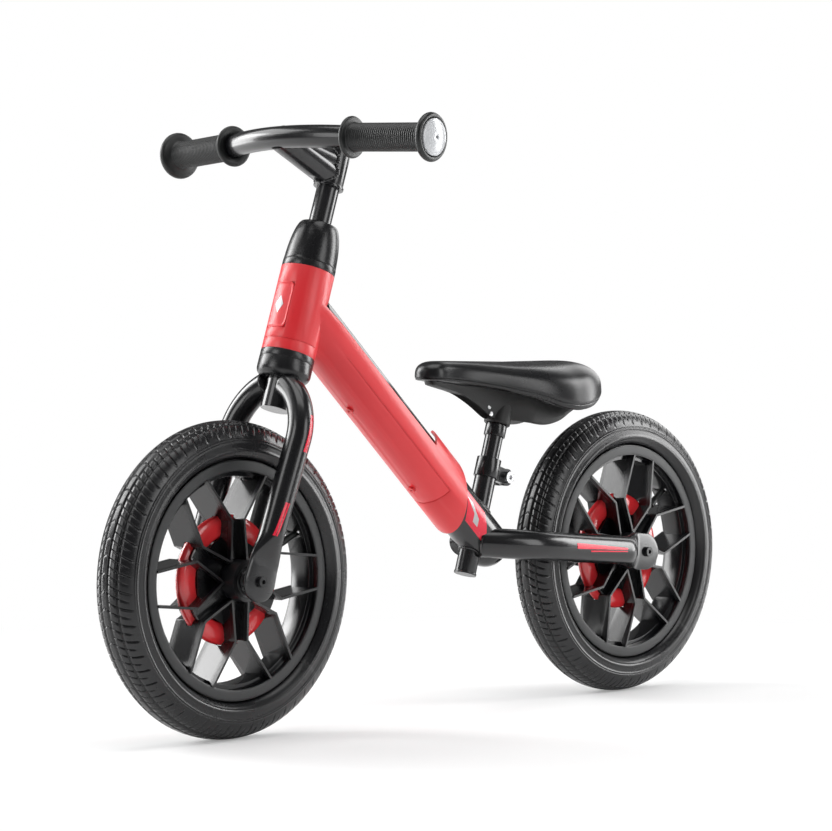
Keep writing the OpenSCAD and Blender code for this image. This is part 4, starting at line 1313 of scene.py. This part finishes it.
@dataclass
class CadDress(SubAssembly):
    """Gives each CAD node that stays its finish, and the listed ones softened edges."""

    library: Library
    edge: dict[str, float] = field(default_factory=lambda: {
        "front_rim": 0.35, "rear_rim": 0.35, "front_spokes": 0.35, "rear_spokes": 0.35,
        "tube_cover": 0.6, "crown_cap": 0.6, "headset_cap": 0.4, "stem_sleeve": 0.4,
        "stem_ring": 0.3, "stem_plug": 0.8, "seat_clamp": 1.0, "post_sleeve": 0.8,
        "seat_tube": 0.3, "seat_tube_plug": 0.6, "front_axle_bolts": 0.4, "rear_axle_bolts": 0.4,
        "seat_clamp_bolt": 0.5, "seat_clamp_nut": 0.4, "upper_cup": 0.3, "lower_cup": 0.3,
        "grip_end_caps": 0.5})
    painted: dict[str, str] = field(default_factory=lambda: {"cover_screws": "cover_red"})

    def __post_init__(self) -> None:
        self.pieces = []

    def build(self) -> None:
        """Dresses every CAD node that no piece stands for."""
        slots = {s["node"]: s["material_slot"] for s in frame["record"]["subparts"]}
        for node, obj in frame["nodes"].items():
            if obj.hide_render:
                continue
            self.library.dress(obj, self.painted.get(node, slots[node]))
            if node in self.edge:
                weld = obj.modifiers.new("weld", "WELD")
                weld.merge_threshold = 2e-6
                bevel = obj.modifiers.new("edges", "BEVEL")
                bevel.width = self.edge[node] * MM
                bevel.segments = 2
                bevel.limit_method = "ANGLE"
                bevel.angle_limit = math.radians(38)
                bevel.use_clamp_overlap = True
            self.pieces.append(obj)


# ---- Stage ----


class Studio:
    """The pale floor, the soft lights and the camera."""

    def __init__(self) -> None:
        self.scene = bpy.context.scene

    def floor(self) -> None:
        """Builds a pale floor that fades into the white surround away from the bike."""
        size = 9.0
        mesh = bpy.data.meshes.new("floor")
        corners = [(-size, -size, 0), (size, -size, 0), (size, size, 0), (-size, size, 0)]
        mesh.from_pydata(corners, [], [(0, 1, 2, 3)])
        floor = bpy.data.objects.new("floor", mesh)
        self.scene.collection.objects.link(floor)
        material = bpy.data.materials.new("floor_paper")
        material.use_nodes = True
        nodes, link = material.node_tree.nodes, material.node_tree.links.new
        paper = nodes["Principled BSDF"]
        paper.inputs["Base Color"].default_value = (0.94, 0.94, 0.94, 1)
        paper.inputs["Roughness"].default_value = 0.75
        glow = nodes.new("ShaderNodeEmission")
        glow.inputs["Color"].default_value = (1, 1, 1, 1)
        where = nodes.new("ShaderNodeTexCoord")
        length = nodes.new("ShaderNodeVectorMath")
        length.operation = "LENGTH"
        fade = nodes.new("ShaderNodeMapRange")
        fade.interpolation_type = "SMOOTHSTEP"
        fade.inputs["From Min"].default_value = 0.35
        fade.inputs["From Max"].default_value = 1.15
        fade.inputs["To Min"].default_value = 0.25
        rays = nodes.new("ShaderNodeLightPath")
        seen = nodes.new("ShaderNodeMath")
        seen.operation = "MULTIPLY"
        mix = nodes.new("ShaderNodeMixShader")
        link(where.outputs["Object"], length.inputs[0])
        link(length.outputs["Value"], fade.inputs["Value"])
        link(fade.outputs["Result"], seen.inputs[0])
        link(rays.outputs["Is Camera Ray"], seen.inputs[1])
        link(seen.outputs["Value"], mix.inputs[0])
        link(paper.outputs[0], mix.inputs[1])
        link(glow.outputs[0], mix.inputs[2])
        link(mix.outputs[0], nodes["Material Output"].inputs["Surface"])
        mesh.materials.append(material)

    def world(self) -> None:
        """Makes the surround white where it is seen and grey where it lights."""
        world = bpy.data.worlds.new("surround")
        self.scene.world = world
        world.use_nodes = True
        nodes, link = world.node_tree.nodes, world.node_tree.links.new
        back = nodes["Background"]
        back.inputs["Color"].default_value = (1, 1, 1, 1)
        rays = nodes.new("ShaderNodeLightPath")
        pick = nodes.new("ShaderNodeMapRange")
        pick.inputs["To Min"].default_value = 0.12
        pick.inputs["To Max"].default_value = 1.0
        link(rays.outputs["Is Camera Ray"], pick.inputs["Value"])
        link(pick.outputs["Result"], back.inputs["Strength"])

    def light(self, name: str, place: Sequence[float], aim: Sequence[float], size: tuple[float, float],
              power: float) -> None:
        """Adds one softbox."""
        data = bpy.data.lights.new(name, "AREA")
        data.shape = "RECTANGLE"
        data.size, data.size_y = size
        data.energy = power
        lamp = bpy.data.objects.new(name, data)
        lamp.location = place
        lamp.rotation_euler = (Vector(aim) - Vector(place)).to_track_quat("-Z", "Y").to_euler()
        self.scene.collection.objects.link(lamp)

    def lights(self) -> None:
        """Places the softboxes: two beside the camera, one overhead, two at the edges and two behind."""
        aim = (0.0, 0.0, 0.3)
        self.light("right_box", (-0.35, 2.6, 1.1), aim, (1.0, 1.8), 20)
        self.light("left_box", (2.6, -0.35, 1.1), aim, (1.0, 1.8), 20)
        self.light("top_box", (0.2, 0.2, 2.4), aim, (1.8, 1.8), 26)
        self.light("back_box", (0.8, -1.5, 1.5), (0.0, 0.0, 0.2), (1.4, 1.2), 20)
        self.light("right_edge_box", (-2.15, 1.07, 0.8), aim, (0.9, 2.0), 48)
        self.light("left_edge_box", (0.96, -2.2, 0.8), aim, (0.9, 2.0), 48)
        self.light("far_box", (-2.2, -0.6, 1.3), aim, (1.2, 1.6), 14)

    def camera(self) -> None:
        """Places the camera."""
        yaw, pitch, roll = (math.radians(v) for v in (46.2275, -1.0288, -0.3357))
        look = Vector((-math.sin(yaw) * math.cos(pitch), -math.cos(yaw) * math.cos(pitch), math.sin(pitch)))
        right = look.cross(Vector((0, 0, 1))).normalized()
        up = right.cross(look)
        turned_right = right * math.cos(roll) + up * math.sin(roll)
        turned_up = up * math.cos(roll) - right * math.sin(roll)
        data = bpy.data.cameras.new("camera")
        data.sensor_width = 36.0
        data.lens = 132.53
        data.clip_end = 60.0
        camera = bpy.data.objects.new("camera", data)
        camera.matrix_world = Matrix.Translation((2.2677, 2.1481, 0.3597)) @ Matrix(
            (turned_right, turned_up, -look)).transposed().to_4x4()
        self.scene.collection.objects.link(camera)
        self.scene.camera = camera

    def build(self) -> None:
        """Builds the stage."""
        self.scene.view_settings.view_transform = "Standard"
        self.floor()
        self.world()
        self.lights()
        self.camera()


def main() -> None:
    """Builds every sub-assembly in order and reports its pieces."""
    logging.basicConfig(level=logging.INFO, format="%(message)s")
    library = Library()
    Studio().build()
    parts: list[SubAssembly] = []
    for end in ("front", "rear"):
        parts += [Tyre(library, end, TyreSizes()), HubRing(library, end, RingSizes()),
                  RimFlange(library, end)]
    parts += [Fork(library, LegSizes()), Stays(library, StaySizes()), FrameTrim(library, TrimSizes()),
              Grips(library, GripSizes()), Saddle(library, SaddleSizes()), CadDress(library)]
    for part in parts:
        part.build()
        for piece in part.pieces:
            LOG.info("%s: %s, %d faces", type(part).__name__, piece.name, len(piece.data.polygons))


if __name__ == "__main__":
    main()
